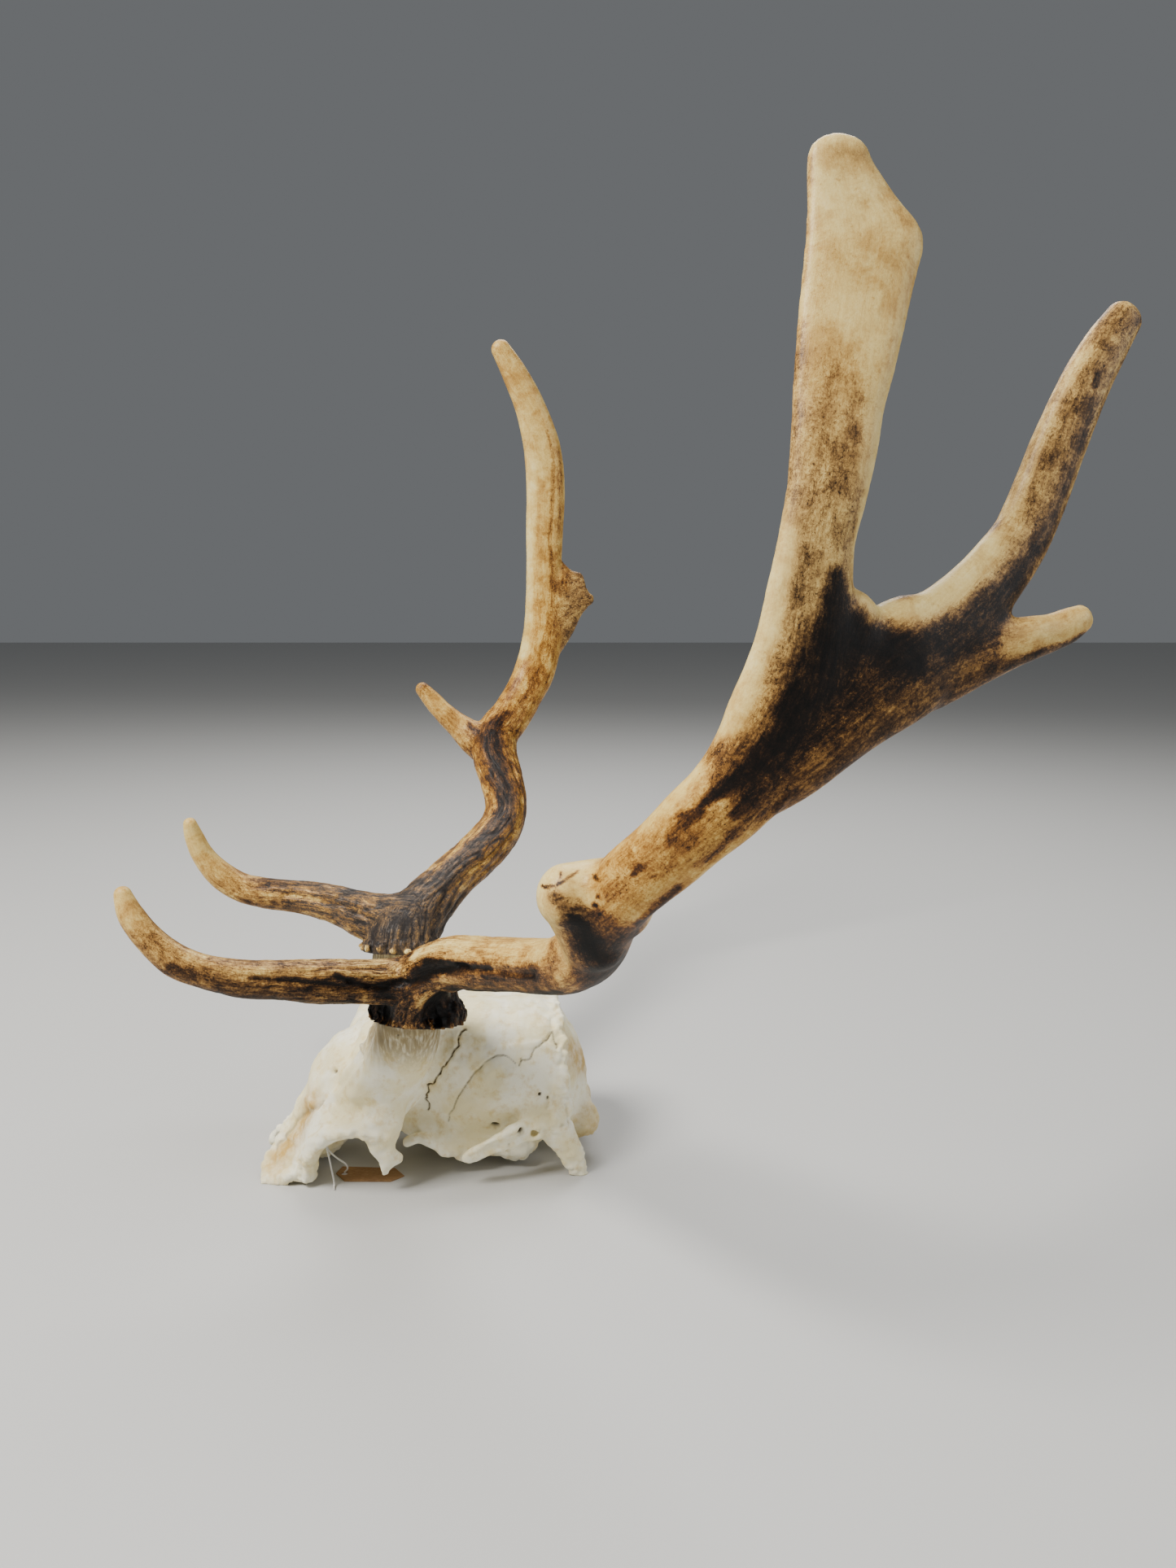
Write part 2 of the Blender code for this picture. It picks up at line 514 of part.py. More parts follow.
def make_skull(material):
    bm = bmesh.new()
    for rows, cap in ((BRAINCASE, 0.2), (SKULL_BASE, 0.5), (NASAL_CORE, 0.1)):
        add_branch(bm, rows, fullness=2.2, cap=cap, straight=(1.0, 0.0, 0.0))
    add_branch(bm, NECK_CREST)
    add_plate(bm)
    for side in (-1, 1):
        for rows in (PEDICLE, EYE_RIM, EYE_BAR, CHEEK_STUB, EAR_TUBE, NECK_PROCESS):
            add_branch(bm, on_side(rows, side))
        for centre, radii in SKULL_BALLS:
            add_ball(bm, (centre[0], side * centre[1], centre[2]), radii, detail=3)
    skull = add_object("skull", mesh_from(bm, "skull"))
    fuse(skull, SKULL_VOXEL, 3, SKULL_TRIANGLES)
    for side in (-1, 1):
        above = box_cutter(burr_centre(side), burr_axis(side), 60.0, 40.0, offset=20.0 - GAP / 2)
        boolean(skull, above)
        ear = (EAR_TUBE[-1][0], side * (EAR_TUBE[-1][1] + 2.0), EAR_TUBE[-1][2])
        boolean(skull, round_cutter(ear, (0.0, side, 0.0), EAR_HOLE_RADIUS, 14.0))
    boolean(skull, round_cutter(NECK_HOLE, (1.0, 0.0, -0.2), NECK_HOLE_RADIUS, 40.0))
    boolean(skull, box_cutter((0, 0, 0), (0, 0, 1), 600.0, 60.0, offset=-30.0))
    finish_piece(skull, material)
    return skull


def round_cutter(centre, along, radius, depth):
    bm = bmesh.new()
    bmesh.ops.create_cone(bm, cap_ends=True, segments=16, radius1=radius * MM,
                          radius2=radius * MM, depth=depth * MM)
    turn = Vector(along).to_track_quat("Z", "Y").to_matrix().to_4x4()
    bmesh.ops.transform(bm, matrix=Matrix.Translation(Vector(centre) * MM) @ turn, verts=bm.verts)
    return add_object("cutter", mesh_from(bm, "cutter"))


def make_tag(material):
    """A small card label with its corners clipped, lying on the table under the left eye."""
    bm = bmesh.new()
    corners = [bm.verts.new(Vector((x, y, 0.0)) * MM) for x, y in TAG_OUTLINE]
    face = bm.faces.new(corners)
    grown = bmesh.ops.extrude_face_region(bm, geom=[face])["geom"]
    top = [part for part in grown if isinstance(part, bmesh.types.BMVert)]
    bmesh.ops.translate(bm, vec=Vector((0, 0, TAG_THICKNESS)) * MM, verts=top)
    tag = add_object("specimen_tag", mesh_from(bm, "specimen_tag"))
    boolean(tag, round_cutter((*TAG_HOLE, 0.0), (0, 0, 1), TAG_HOLE_RADIUS, 6.0))
    tag.data.materials.clear()
    tag.data.materials.append(material)


def make_string(material):
    """The string from the tag's hole, over the eye's lower rim and down to a loose end."""
    route = bpy.data.curves.new("tag_string", "CURVE")
    route.dimensions = "3D"
    route.bevel_depth = STRING_DIAMETER / 2 * MM
    route.bevel_resolution = 2
    route.use_fill_caps = True
    points = smooth_route(STRING_ROUTE, STRING_STEPS)
    spline = route.splines.new("POLY")
    spline.points.add(len(points) - 1)
    for point, place in zip(spline.points, points):
        point.co = (*(Vector(place) * MM), 1.0)
    string = add_object("tag_string", route)
    string.data.materials.append(material)


def smooth_route(route, steps):
    """Points along a smooth curve through the route's own points."""
    ends = [route[0]] + list(route) + [route[-1]]
    points = []
    for i in range(len(route) - 1):
        for step in range(steps):
            points.append(between(*ends[i:i + 4], step / steps))
    points.append(list(route[-1]))
    return points


def main():
    clear_scene()
    bone = make_material("bone", (0.80, 0.76, 0.64), 0.55)
    antler = make_material("antler", (0.42, 0.29, 0.16), 0.45)
    card = make_material("kraft_card", (0.42, 0.27, 0.17), 0.85)
    cotton = make_material("cotton_string", (0.85, 0.85, 0.83), 0.9)
    make_skull(bone)
    left_branches = [LEFT_BEAM, LEFT_BROW, LEFT_KNOB, LEFT_WEB, LEFT_REAR, LEFT_SHORT, LEFT_CORNER]
    make_antler(-1, left_branches, LEFT_CUTS, LEFT_PIECES, LEFT_TRIANGLES, antler)
    right_branches = [RIGHT_BEAM, RIGHT_BROW, RIGHT_TREZ, RIGHT_SPUR]
    make_antler(1, right_branches, RIGHT_CUTS, RIGHT_PIECES, RIGHT_TRIANGLES, antler)
    make_tag(card)
    make_string(cotton)


main()
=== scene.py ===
# %% [markdown]
# # A deer skull with two uneven antlers
#
# The object is the back half of a deer's skull, broken off in front of the eyes, with both antlers
# still on it. One antler ends in a wide blade and a rear fork, the other in a long bare beam.
# A small card label on a cotton string lies under the left eye. This notebook dresses a plain
# CAD model of it: the CAD gives every place and size, and the cells below grow the real
# surface around it, then stain and polish it.

# %% Blender, numpy and the fixed frame
import math

import bmesh
import bpy
import numpy as np
from mathutils import Matrix, Vector, kdtree


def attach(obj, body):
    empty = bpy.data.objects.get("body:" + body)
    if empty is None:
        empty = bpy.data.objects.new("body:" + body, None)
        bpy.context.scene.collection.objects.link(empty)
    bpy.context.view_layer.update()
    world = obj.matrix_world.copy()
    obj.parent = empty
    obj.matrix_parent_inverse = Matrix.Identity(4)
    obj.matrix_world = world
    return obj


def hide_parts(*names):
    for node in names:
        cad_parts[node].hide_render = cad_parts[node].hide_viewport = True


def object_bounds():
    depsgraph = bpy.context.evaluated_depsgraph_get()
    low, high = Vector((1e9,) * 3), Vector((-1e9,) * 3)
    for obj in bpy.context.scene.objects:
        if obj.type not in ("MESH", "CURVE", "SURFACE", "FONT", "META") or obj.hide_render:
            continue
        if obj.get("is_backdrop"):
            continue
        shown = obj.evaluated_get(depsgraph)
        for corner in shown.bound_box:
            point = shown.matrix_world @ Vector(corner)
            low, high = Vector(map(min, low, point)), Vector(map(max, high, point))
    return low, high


MM = 0.001                      # the tables are in millimetres, Blender works in metres

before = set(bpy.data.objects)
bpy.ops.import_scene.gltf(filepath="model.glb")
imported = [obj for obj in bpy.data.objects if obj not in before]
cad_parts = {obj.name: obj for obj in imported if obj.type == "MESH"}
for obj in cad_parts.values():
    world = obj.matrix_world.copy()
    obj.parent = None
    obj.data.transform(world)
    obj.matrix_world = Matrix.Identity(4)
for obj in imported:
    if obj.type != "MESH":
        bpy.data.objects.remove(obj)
cad_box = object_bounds()
print("CAD nodes:", ", ".join(sorted(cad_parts)))

# %% [markdown]
# ## Camera
#
# The photograph was taken with a phone held low in front of the skull and a little to one side,
# so the near antler looks much bigger than the far one. A camera could be aimed with a
# constraint, but the place and the three angles are known, so its matrix is built from them.

# %% Camera
CAMERA_PLACE = (-60.0, -620.0, 310.0)
CAMERA_YAW, CAMERA_PITCH, CAMERA_ROLL = 8.5, 9.5, 0.4
SENSOR_WIDTH = 36.0
FOCAL_LENGTH = 27.03


def add_object(name, data):
    thing = bpy.data.objects.new(name, data)
    bpy.context.scene.collection.objects.link(thing)
    return thing


def aim_camera(place, yaw, pitch, roll):
    """A camera that looks along +Y, turned towards +X by yaw and down by pitch."""
    yaw, pitch, roll = (math.radians(angle) for angle in (yaw, pitch, roll))
    ahead = Vector((math.sin(yaw) * math.cos(pitch), math.cos(yaw) * math.cos(pitch), -math.sin(pitch)))
    level = Vector((math.cos(yaw), -math.sin(yaw), 0.0))
    above = level.cross(ahead)
    right = level * math.cos(roll) + above * math.sin(roll)
    up = above * math.cos(roll) - level * math.sin(roll)
    turn = Matrix((right, up, -ahead)).transposed().to_4x4()
    camera = add_object("camera", bpy.data.cameras.new("camera"))
    camera.matrix_world = Matrix.Translation(Vector(place) * MM) @ turn
    camera.data.sensor_width = SENSOR_WIDTH
    camera.data.lens = FOCAL_LENGTH
    camera.data.clip_start = 0.01
    bpy.context.scene.camera = camera
    return camera


camera = aim_camera(CAMERA_PLACE, CAMERA_YAW, CAMERA_PITCH, CAMERA_ROLL)
print("camera at", tuple(round(value, 3) for value in camera.location))

# %% [markdown]
# ## Smooth lines through a few points
#
# Everything long on this object, from a beam to the string, follows a smooth line. A handful of
# points is easy to read and to change, so each line is a short table, and a
# Catmull-Rom curve fills in what lies between. It passes exactly through every point given.

# %% Smooth rows
def smooth_rows(rows, spacing=None, steps=None):
    """More rows on a smooth curve through the given ones, one spacing apart or in equal steps."""
    rows = np.array(rows, float)
    ends = np.vstack([rows[:1], rows, rows[-1:]])
    fine = []
    for a, b, c, d in zip(ends, ends[1:], ends[2:], ends[3:]):
        count = steps or max(1, round(float(np.linalg.norm(c[:3] - b[:3])) / spacing))
        t = np.arange(count)[:, None] / count
        bend = (c - a) * t + (2 * a - 5 * b + 4 * c - d) * t ** 2 + (3 * b - a - 3 * c + d) * t ** 3
        fine.append(b + 0.5 * bend)
    return np.vstack(fine + [rows[-1:]])


example = smooth_rows([(0, 0, 0), (1, 1, 0), (2, 0, 0)], steps=4)
print("a line of 3 points and 4 steps has", len(example), "rows")

# %% [markdown]
# ## The label's string
#
# A thin white cotton string comes up through the label's hole, passes over the lower rim of the
# eye socket and falls to a loose end on the table. A curve with a round bevel is the natural way
# to make a cord: its own line is the cord's centre, so its length can be measured. The thickness
# is given at each point, because Blender adds the points' radius to the curve's box.

# %% String
STRING_DIAMETER = 0.9
STRING_STEPS = 4
STRING_ROUTE = [
    (-100.5, -22.5, 1.3), (-98.8, -23.8, 4.0), (-99.8, -26.0, 8.0), (-103.5, -28.6, 12.5),
    (-107.0, -30.8, 17.5), (-108.6, -32.0, 21.5), (-109.3, -33.4, 23.6), (-108.8, -34.9, 22.8),
    (-107.8, -35.2, 19.0), (-107.0, -34.6, 14.0), (-106.3, -34.0, 9.0), (-105.6, -33.8, 4.5),
    (-105.2, -34.6, 1.7), (-105.1, -36.6, 0.75), (-104.9, -39.0, 0.75),
]


def lay_string(route):
    curve = bpy.data.curves.new("string", "CURVE")
    curve.dimensions = "3D"
    curve.bevel_depth = 1.0
    curve.bevel_resolution = 3
    curve.use_fill_caps = True
    points = smooth_rows(route, steps=STRING_STEPS)
    spline = curve.splines.new("POLY")
    spline.points.add(len(points) - 1)
    for point, place in zip(spline.points, points):
        point.co = (*(Vector(place) * MM), 1.0)
        point.radius = STRING_DIAMETER / 2 * MM
    return add_object("string", curve), points


string, string_line = lay_string(STRING_ROUTE)
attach(string, "root")
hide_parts("tag_string")

# %% [markdown]
# ## The antlers' limbs
#
# An antler is a main beam with tines. Each limb is a table of cross-sections, with the place of
# its middle, half its width, half its thickness and the heading that its flat side faces. They
# follow the CAD's tables, so the fine surface lies close to the plain one.

# %% Left antler's tables
LEFT_LIMBS = {
    "beam": [
        (-61, -54, 97, 21, 20, 205), (-61, -56.5, 106, 20, 19.5, 205), (-60, -62, 115, 17.5, 17, 205),
        (-53, -73, 127, 13.8, 13.5, 205), (-42.5, -90, 137, 12.6, 12.3, 205),
        (-29, -114, 143.7, 12, 12.5, 205), (-16.5, -138, 150.5, 11.5, 12.5, 205),
        (-5.5, -162, 157.5, 11.5, 12.3, 207), (1, -180, 165.5, 12.3, 12.8, 215),
        (5.5, -194, 176, 13, 13, 225), (8, -210, 192, 13, 12.5, 240), (14, -226, 207.5, 13, 11.5, 250),
        (24, -238, 221, 13, 11, 258), (32, -246, 232, 13.5, 10.5, 262), (42, -251, 243, 14.5, 10, 265),
        (49, -254, 255, 15, 9, 268), (55, -256, 267, 17, 8, 270), (60, -257, 280, 17, 7.5, 270),
        (63, -258, 295.5, 15.5, 6.5, 270), (65.2, -258, 317, 13.3, 5.8, 270),
        (66.5, -257.5, 327, 12.7, 5.6, 270), (69.6, -256, 341, 13.4, 5.6, 270),
        (71.5, -254, 357, 13.8, 5.2, 270), (73.6, -251, 371, 14, 5, 270), (76.8, -248, 386.5, 15, 4.8, 270),
        (79, -245, 399.5, 15, 4.6, 270), (80, -243, 412, 14, 4.4, 270), (78.8, -240.5, 425, 11.5, 4.2, 270),
        (77, -238.5, 436, 9, 4, 270), (76, -237.3, 442, 7, 3.8, 270),
    ],
    "brow": [
        (-57.5, -64, 119.5, 12.5, 12.5, 270), (-69, -66, 120.5, 11.5, 11.5, 270),
        (-80.5, -70, 122.5, 10.5, 10, 270), (-92, -74, 124.5, 10.5, 10, 270),
        (-108, -80, 127.5, 10, 9.5, 270), (-124, -85, 130.5, 9, 8.5, 270), (-140, -88, 133, 8.5, 8, 270),
        (-156, -89, 137.5, 7.5, 7, 270), (-168.5, -88, 143, 7.5, 6.5, 270), (-179.5, -86, 153, 6.5, 6, 270),
        (-187, -84, 163.5, 5.8, 5.3, 270), (-190.5, -82, 172.5, 4, 3.9, 270),
    ],
    "knob": [
        (14, -213, 199, 15.5, 12, 250), (4, -213, 200, 13.8, 11.8, 250), (-6.6, -214, 200.8, 12, 10.8, 250),
    ],
    "knob neck": [
        (5, -204, 181, 12, 12, 240), (0.5, -209, 191, 12.2, 11.8, 245), (-4.5, -213, 199.5, 12, 10.8, 250),
    ],
    # The blade's cross-sections lie level, so that both of its edges can be followed.
    "blade": [
        (66.9, -257.5, 327, 12.4, 5.7, 270), (68.4, -257, 334.5, 13, 5.7, 270),
        (70, -256, 343, 13.7, 5.6, 270), (71.9, -254.3, 354, 14.6, 5.6, 270),
        (73.4, -252, 365, 15.2, 5.5, 270), (75.6, -250, 376.5, 16.5, 5.4, 270),
        (77.5, -248, 386, 17.4, 5.3, 270), (80.2, -245, 400, 18.5, 5.1, 270),
        (82.2, -243.3, 410, 19.3, 4.9, 270), (83.5, -242.4, 416, 19.8, 4.8, 270),
        (83.8, -241.5, 420.5, 19.6, 4.7, 270), (82.8, -240.4, 425.8, 18.2, 4.6, 270),
        (80.1, -239, 432, 15.3, 4.5, 270), (77.7, -237.8, 439, 12.7, 4.4, 270),
        (75.9, -237, 444.2, 10.6, 4.2, 270),
    ],
    "web": [
        (60, -256, 268, 14, 7.5, 270), (70, -255.5, 282, 18, 6.8, 270), (76.3, -255, 295, 15, 6.4, 270),
        (79.3, -255, 302.5, 9.5, 6, 270),
    ],
    "rear": [
        (44.5, -252, 243.5, 12.5, 7, 270), (58, -255, 255, 15.5, 7.5, 270),
        (77.5, -255, 270.5, 16.5, 7.5, 270), (98, -252, 286.5, 20.5, 7.2, 270),
        (114.5, -247, 296, 15.6, 6.8, 270), (128.5, -242, 307.5, 13, 6.3, 270),
        (137, -238.5, 316, 11.8, 6.1, 270), (146, -235, 326.5, 10.7, 5.9, 270),
        (151.3, -232.5, 335.7, 10.3, 5.8, 270), (156.4, -230.5, 346.7, 10.2, 5.7, 270),
        (160.6, -229, 356.7, 10, 5.6, 270), (165.5, -227.5, 367.8, 9.6, 5.5, 270),
        (172, -225.5, 381, 9, 5.3, 270), (179.3, -223.5, 393, 8.2, 5, 270),
        (186.3, -222, 403, 6.8, 4.6, 270),
    ],
    "short": [
        (98, -251, 278.5, 12.4, 6.4, 270), (112, -247.5, 283.3, 13, 6.3, 270),
        (128, -245, 288, 10.4, 5.8, 270), (141, -243, 292, 8.7, 5.4, 270),
        (148.5, -242, 293.8, 7.8, 5.1, 270), (157.5, -240, 295.6, 6.6, 4.8, 270),
        (164, -239, 298, 6.1, 4.5, 270), (168.6, -238, 300.2, 5, 4.2, 270),
    ],
}

# %% Right antler's tables
RIGHT_LIMBS = {
    "beam": [
        (-68.5, 54, 98, 20.5, 20, 155), (-68, 56.5, 105, 20.5, 19.5, 155),
        (-64.5, 62, 111, 18.8, 18.5, 155), (-52, 80, 121, 15, 15.5, 155), (-36, 108, 130, 13.3, 14, 155),
        (-15.5, 145, 138, 13.3, 15, 150), (-1.5, 172, 148.5, 13.3, 14.5, 140), (3, 190, 161, 13.6, 14, 130),
        (1, 206, 175.5, 15.2, 14, 120), (-2.2, 222, 191, 16, 13.5, 110), (0.6, 235, 203.5, 15.6, 12.5, 100),
        (11.6, 244, 216.5, 14.6, 11.5, 95), (22.2, 250, 233, 14.3, 11, 90), (30.5, 254, 250, 15, 11, 90),
        (36, 256, 275, 14.5, 10, 90), (37, 257, 298.5, 13.5, 9, 90), (37, 257, 322.5, 13, 8.5, 90),
        (37.5, 256, 351.5, 13.6, 8.5, 90), (38, 254, 380.5, 14, 8, 90), (35, 251, 408.5, 13.3, 7.2, 90),
        (26.5, 248, 435, 11, 6.8, 90), (15.5, 245, 457, 9.2, 6.3, 90), (5, 243, 474, 6.8, 5.7, 90),
    ],
    "brow": [
        (-65, 62, 114, 16.5, 16.5, 90), (-76.5, 65, 115, 15, 15, 90), (-87.5, 69, 116, 14, 13, 90),
        (-99.5, 73, 120, 12, 11.5, 90), (-114, 78, 123.5, 10.5, 10, 90), (-131, 83, 126, 9.5, 9, 90),
        (-148, 86, 127.5, 9, 8.5, 90), (-163, 88, 131, 8.5, 8, 90), (-175.5, 88, 139.5, 8, 7, 90),
        (-184.5, 87, 151.5, 6.5, 6, 90), (-189, 85, 164, 5.4, 4.9, 90), (-190.5, 83, 171.5, 4, 3.9, 90),
    ],
    "trez": [
        (-1, 228, 192, 15.5, 12.5, 90), (-15.5, 232, 200.5, 12.6, 9.5, 90), (-27, 237, 209.3, 9.2, 7.7, 90),
        (-38.5, 240, 219.5, 7.4, 6.8, 90), (-46.5, 242, 228.5, 6.6, 6, 90), (-53, 243, 236, 5.2, 5, 90),
    ],
    # A web whose cross-sections stand upright: it runs out sideways and ends in a hook.
    "spur": [
        (38, 257, 293, 34, 8, 90), (46, 257, 294, 36, 7.6, 90), (50.5, 257, 295.5, 33.5, 7, 90),
        (56.4, 257, 297.2, 26, 5.8, 90), (60, 257, 299.4, 22, 5, 90), (63.5, 257, 303.3, 17.4, 4.2, 90),
        (66.3, 257, 304.5, 13.6, 3.6, 90), (68.6, 257, 301.5, 8.4, 3.2, 90), (71, 257, 301, 4.4, 2.8, 90),
    ],
}
FIXED_DIRECTION = {"blade": (0.0, 0.0, 1.0), "spur": (1.0, 0.0, 0.0)}
print(sum(len(rows) for limbs in (LEFT_LIMBS, RIGHT_LIMBS) for rows in limbs.values()), "cross-sections")

# %% [markdown]
# ## A limb
#
# A limb does two jobs. It can give its skin, a tube of cross-sections with round ends. It can also
# say where any point of the finished surface lies on it: how far along, how far across, and
# how far out of its face. Those are the directions in which an antler grows, so ridges and
# stains drawn in them follow every bend.

# %% Limb
RING_SIDES = 36
ROW_SPACING = 2.0
ROUND_END = np.radians([82, 70, 56, 42, 28, 14])
FAR = 60.0                      # the height given to points that are nowhere near a limb
LOOKUP_SIZE = 4000              # points looked up at once


class Place:
    """Where points lie on one limb: along, across, out of its flat side and above its skin, in mm."""

    def __init__(self, along, across, out, height):
        self.along, self.across, self.out, self.height = along, across, out, height


def unit(vectors):
    return vectors / np.linalg.norm(vectors, axis=-1, keepdims=True)


def dot(a, b):
    return (a * b).sum(axis=-1)


class Limb:
    """A tapering limb made from a table of cross-sections."""

    def __init__(self, rows, straight=None):
        rows = smooth_rows(rows, spacing=ROW_SPACING)
        self.centre, self.half = rows[:, :3], rows[:, 3:5]
        along = np.gradient(self.centre, axis=0)
        if straight is not None:
            along[:] = straight
        self.along = unit(along)
        heading = np.radians(rows[:, 5])
        facing = np.stack([np.cos(heading), np.sin(heading), np.zeros(len(rows))], axis=1)
        self.facing = unit(facing - self.along * dot(facing, self.along)[:, None])
        self.across = np.cross(self.along, self.facing)
        steps = np.linalg.norm(np.diff(self.centre, axis=0), axis=1)
        self.distance = np.concatenate([[0.0], np.cumsum(steps)])

    def skin(self, fullness=2.3, cap=1.0):
        """Points and faces of a closed tube. Fullness 2 is an ellipse, and more squares it off."""
        angle = 2 * math.pi * np.arange(RING_SIDES) / RING_SIDES
        u, v = np.cos(angle), np.sin(angle)
        reach = (abs(u) ** fullness + abs(v) ** fullness) ** (-1 / fullness)

        def ring(i, shift=0.0, scale=1.0):
            wide = np.outer(u * reach * self.half[i, 0] * scale, self.across[i])
            thick = np.outer(v * reach * self.half[i, 1] * scale, self.facing[i])
            return self.centre[i] + self.along[i] * shift + wide + thick

        rings = [ring(0, -cap * self.half[0].min() * math.sin(a), math.cos(a)) for a in ROUND_END]
        rings += [ring(i) for i in range(len(self.centre))]
        rings += [ring(-1, cap * self.half[-1].mean() * math.sin(a), math.cos(a)) for a in ROUND_END[::-1]]
        faces = []
        for low in range(0, (len(rings) - 1) * RING_SIDES, RING_SIDES):
            for i in range(RING_SIDES):
                j = (i + 1) % RING_SIDES
                faces.append((low + i, low + j, low + RING_SIDES + j, low + RING_SIDES + i))
        last = (len(rings) - 1) * RING_SIDES
        faces += [tuple(range(RING_SIDES))[::-1], tuple(range(last, last + RING_SIDES))]
        return np.vstack(rings), faces

    def locate(self, points):
        """Where points lie on the limb. Those far from it only get a great height."""
        place = Place(*np.zeros((3, len(points))), np.full(len(points), FAR))
        reach = self.half.max() + FAR / 2
        inside = (points > self.centre.min(axis=0) - reach) & (points < self.centre.max(axis=0) + reach)
        near = np.nonzero(inside.all(axis=1))[0]
        for part in np.array_split(near, len(near) // LOOKUP_SIZE + 1):
            gap = points[part, None] - self.centre[None]
            i = dot(gap, gap).argmin(axis=1)
            arm = points[part] - self.centre[i]
            along, across, out = dot(arm, self.along[i]), dot(arm, self.across[i]), dot(arm, self.facing[i])
            mean = self.half[i].mean(axis=1)
            size = np.sqrt((across / self.half[i, 0]) ** 2 + (out / self.half[i, 1]) ** 2
                           + (along / mean) ** 2)
            place.along[part] = self.distance[i] + along
            place.across[part], place.out[part] = across, out
            place.height[part] = (size - 1) * mean
        return place


left_limbs = {name: Limb(rows, FIXED_DIRECTION.get(name)) for name, rows in LEFT_LIMBS.items()}
right_limbs = {name: Limb(rows, FIXED_DIRECTION.get(name)) for name, rows in RIGHT_LIMBS.items()}
for side, limbs in (("left", left_limbs), ("right", right_limbs)):
    print(side, {name: round(float(limb.distance[-1])) for name, limb in limbs.items()}, "mm long")

# %% [markdown]
# ## One skin from many shapes
#
# The limbs run into each other, and on the real antler there is no seam between them. Joining
# them with booleans leaves sharp creases, and metaballs are hard to steer. A voxel remesh fuses
# everything that overlaps into one skin of even squares, and relaxing that skin where two limbs
# meet gives the soft fork of grown bone.

# %% Fuse and relax
def fused(name, skins, voxel):
    """One even skin round all the closed shapes, which may overlap."""
    points, faces, count = [], [], 0
    for skin_points, skin_faces in skins:
        points.append(skin_points)
        faces += [tuple(count + corner for corner in face) for face in skin_faces]
        count += len(skin_points)
    mesh = bpy.data.meshes.new(name)
    mesh.from_pydata((np.vstack(points) * MM).tolist(), [], faces)
    return remeshed(add_object(name, mesh), voxel)


def remeshed(thing, voxel):
    """The object with one even skin of squares about a voxel wide."""
    remesh = thing.modifiers.new("fuse", "REMESH")
    remesh.mode = "VOXEL"
    remesh.voxel_size = voxel * MM
    return settled(thing)


def settled(thing):
    """The object with its modifiers worked into its mesh."""
    graph = bpy.context.evaluated_depsgraph_get()
    old, thing.data = thing.data, bpy.data.meshes.new_from_object(thing.evaluated_get(graph))
    thing.modifiers.clear()
    bpy.data.meshes.remove(old)
    return thing


def read_points(mesh):
    points = np.empty(len(mesh.vertices) * 3)
    mesh.vertices.foreach_get("co", points)
    return points.reshape(-1, 3) / MM


def read_normals(mesh):
    normals = np.empty(len(mesh.vertices) * 3)
    mesh.vertex_normals.foreach_get("vector", normals)
    return normals.reshape(-1, 3)


def write_points(mesh, points):
    mesh.vertices.foreach_set("co", (points * MM).ravel())
    mesh.update()


def relax(mesh, strength, rounds, fill_only=False):
    """Each point moves towards the middle of its neighbours, by its own strength from 0 to 1.

    With fill_only it moves outwards only, so creases fill up and nothing wears away.
    """
    edges = np.empty(len(mesh.edges) * 2, int)
    mesh.edges.foreach_get("vertices", edges)
    start, end = edges.reshape(-1, 2).T
    points = read_points(mesh)
    count = len(points)
    degree = (np.bincount(start, minlength=count) + np.bincount(end, minlength=count))[:, None]
    pull = 0.5 * np.broadcast_to(strength, count)[:, None]
    for number in range(rounds):
        total = np.stack([np.bincount(start, points[end, k], count)
                          + np.bincount(end, points[start, k], count) for k in range(3)], axis=1)
        step = total / degree - points
        if fill_only:
            if number % 10 == 0:
                write_points(mesh, points)
                normals = read_normals(mesh)
            step = normals * np.maximum(dot(step, normals), 0.0)[:, None]
        points += pull * step
    write_points(mesh, points)


def smooth_step(low, high, values):
    t = np.clip((values - low) / (high - low), 0.0, 1.0)
    return t * t * (3 - 2 * t)


print("half way up a smooth step:", smooth_step(0.0, 2.0, np.array([1.0]))[0])

# %% [markdown]
# ## Noise
#
# Nothing grown is even. This noise gives a smooth random value at every point in space: random
# numbers sit on the corners of a grid and are blended in between. The size of a bump may differ
# in the three directions, so one function makes both specks and long streaks. A seed fixes it.

# %% Noise
def noise(points, size, seed):
    """Smooth values from -1 to 1 whose bumps are about one size across."""
    cell = points / np.array(size, float)
    low = np.floor(cell).astype(np.int64)
    part = cell - low
    fade = part * part * (3 - 2 * part)
    total = np.zeros(len(points))
    for corner in np.ndindex(2, 2, 2):
        x, y, z = (low + corner).T
        mixed = (x * 374761393 + y * 668265263 + z * 1440662683 + seed * 915488749) & 0xFFFFFFFF
        mixed = ((mixed ^ (mixed >> 13)) * 1274126177) & 0xFFFFFFFF
        value = ((mixed ^ (mixed >> 16)) & 0xFFFF) / 32767.5 - 1.0
        weight = np.where(corner, fade, 1 - fade).prod(axis=1)
        total += weight * value
    return total


def rough_noise(points, size, seed, layers=3):
    """Noise with finer and weaker layers on top."""
    size = np.array(size, float)
    return sum(noise(points, size / 2 ** layer, seed + layer) / 2 ** layer for layer in range(layers))


probe = noise(np.random.default_rng(1).uniform(0, 500, (2000, 3)), 10, seed=1)
print(f"noise runs from {probe.min():.2f} to {probe.max():.2f}")

# %% [markdown]
# ## The burr's beads
#
# Where the antler leaves the bone there is a collar of knobbly beads, the burr. The beads repeat
# round a circle with small differences, which is what Geometry Nodes are good at: one tree
# scatters rough little balls round a ring, and its named inputs make the big row on the
# rim and the finer rows above and below it.

# %% Bead ring tree
BEAD_SIZES = (0.55, 1.3)        # the smallest and the largest bead, as parts of the bead radius


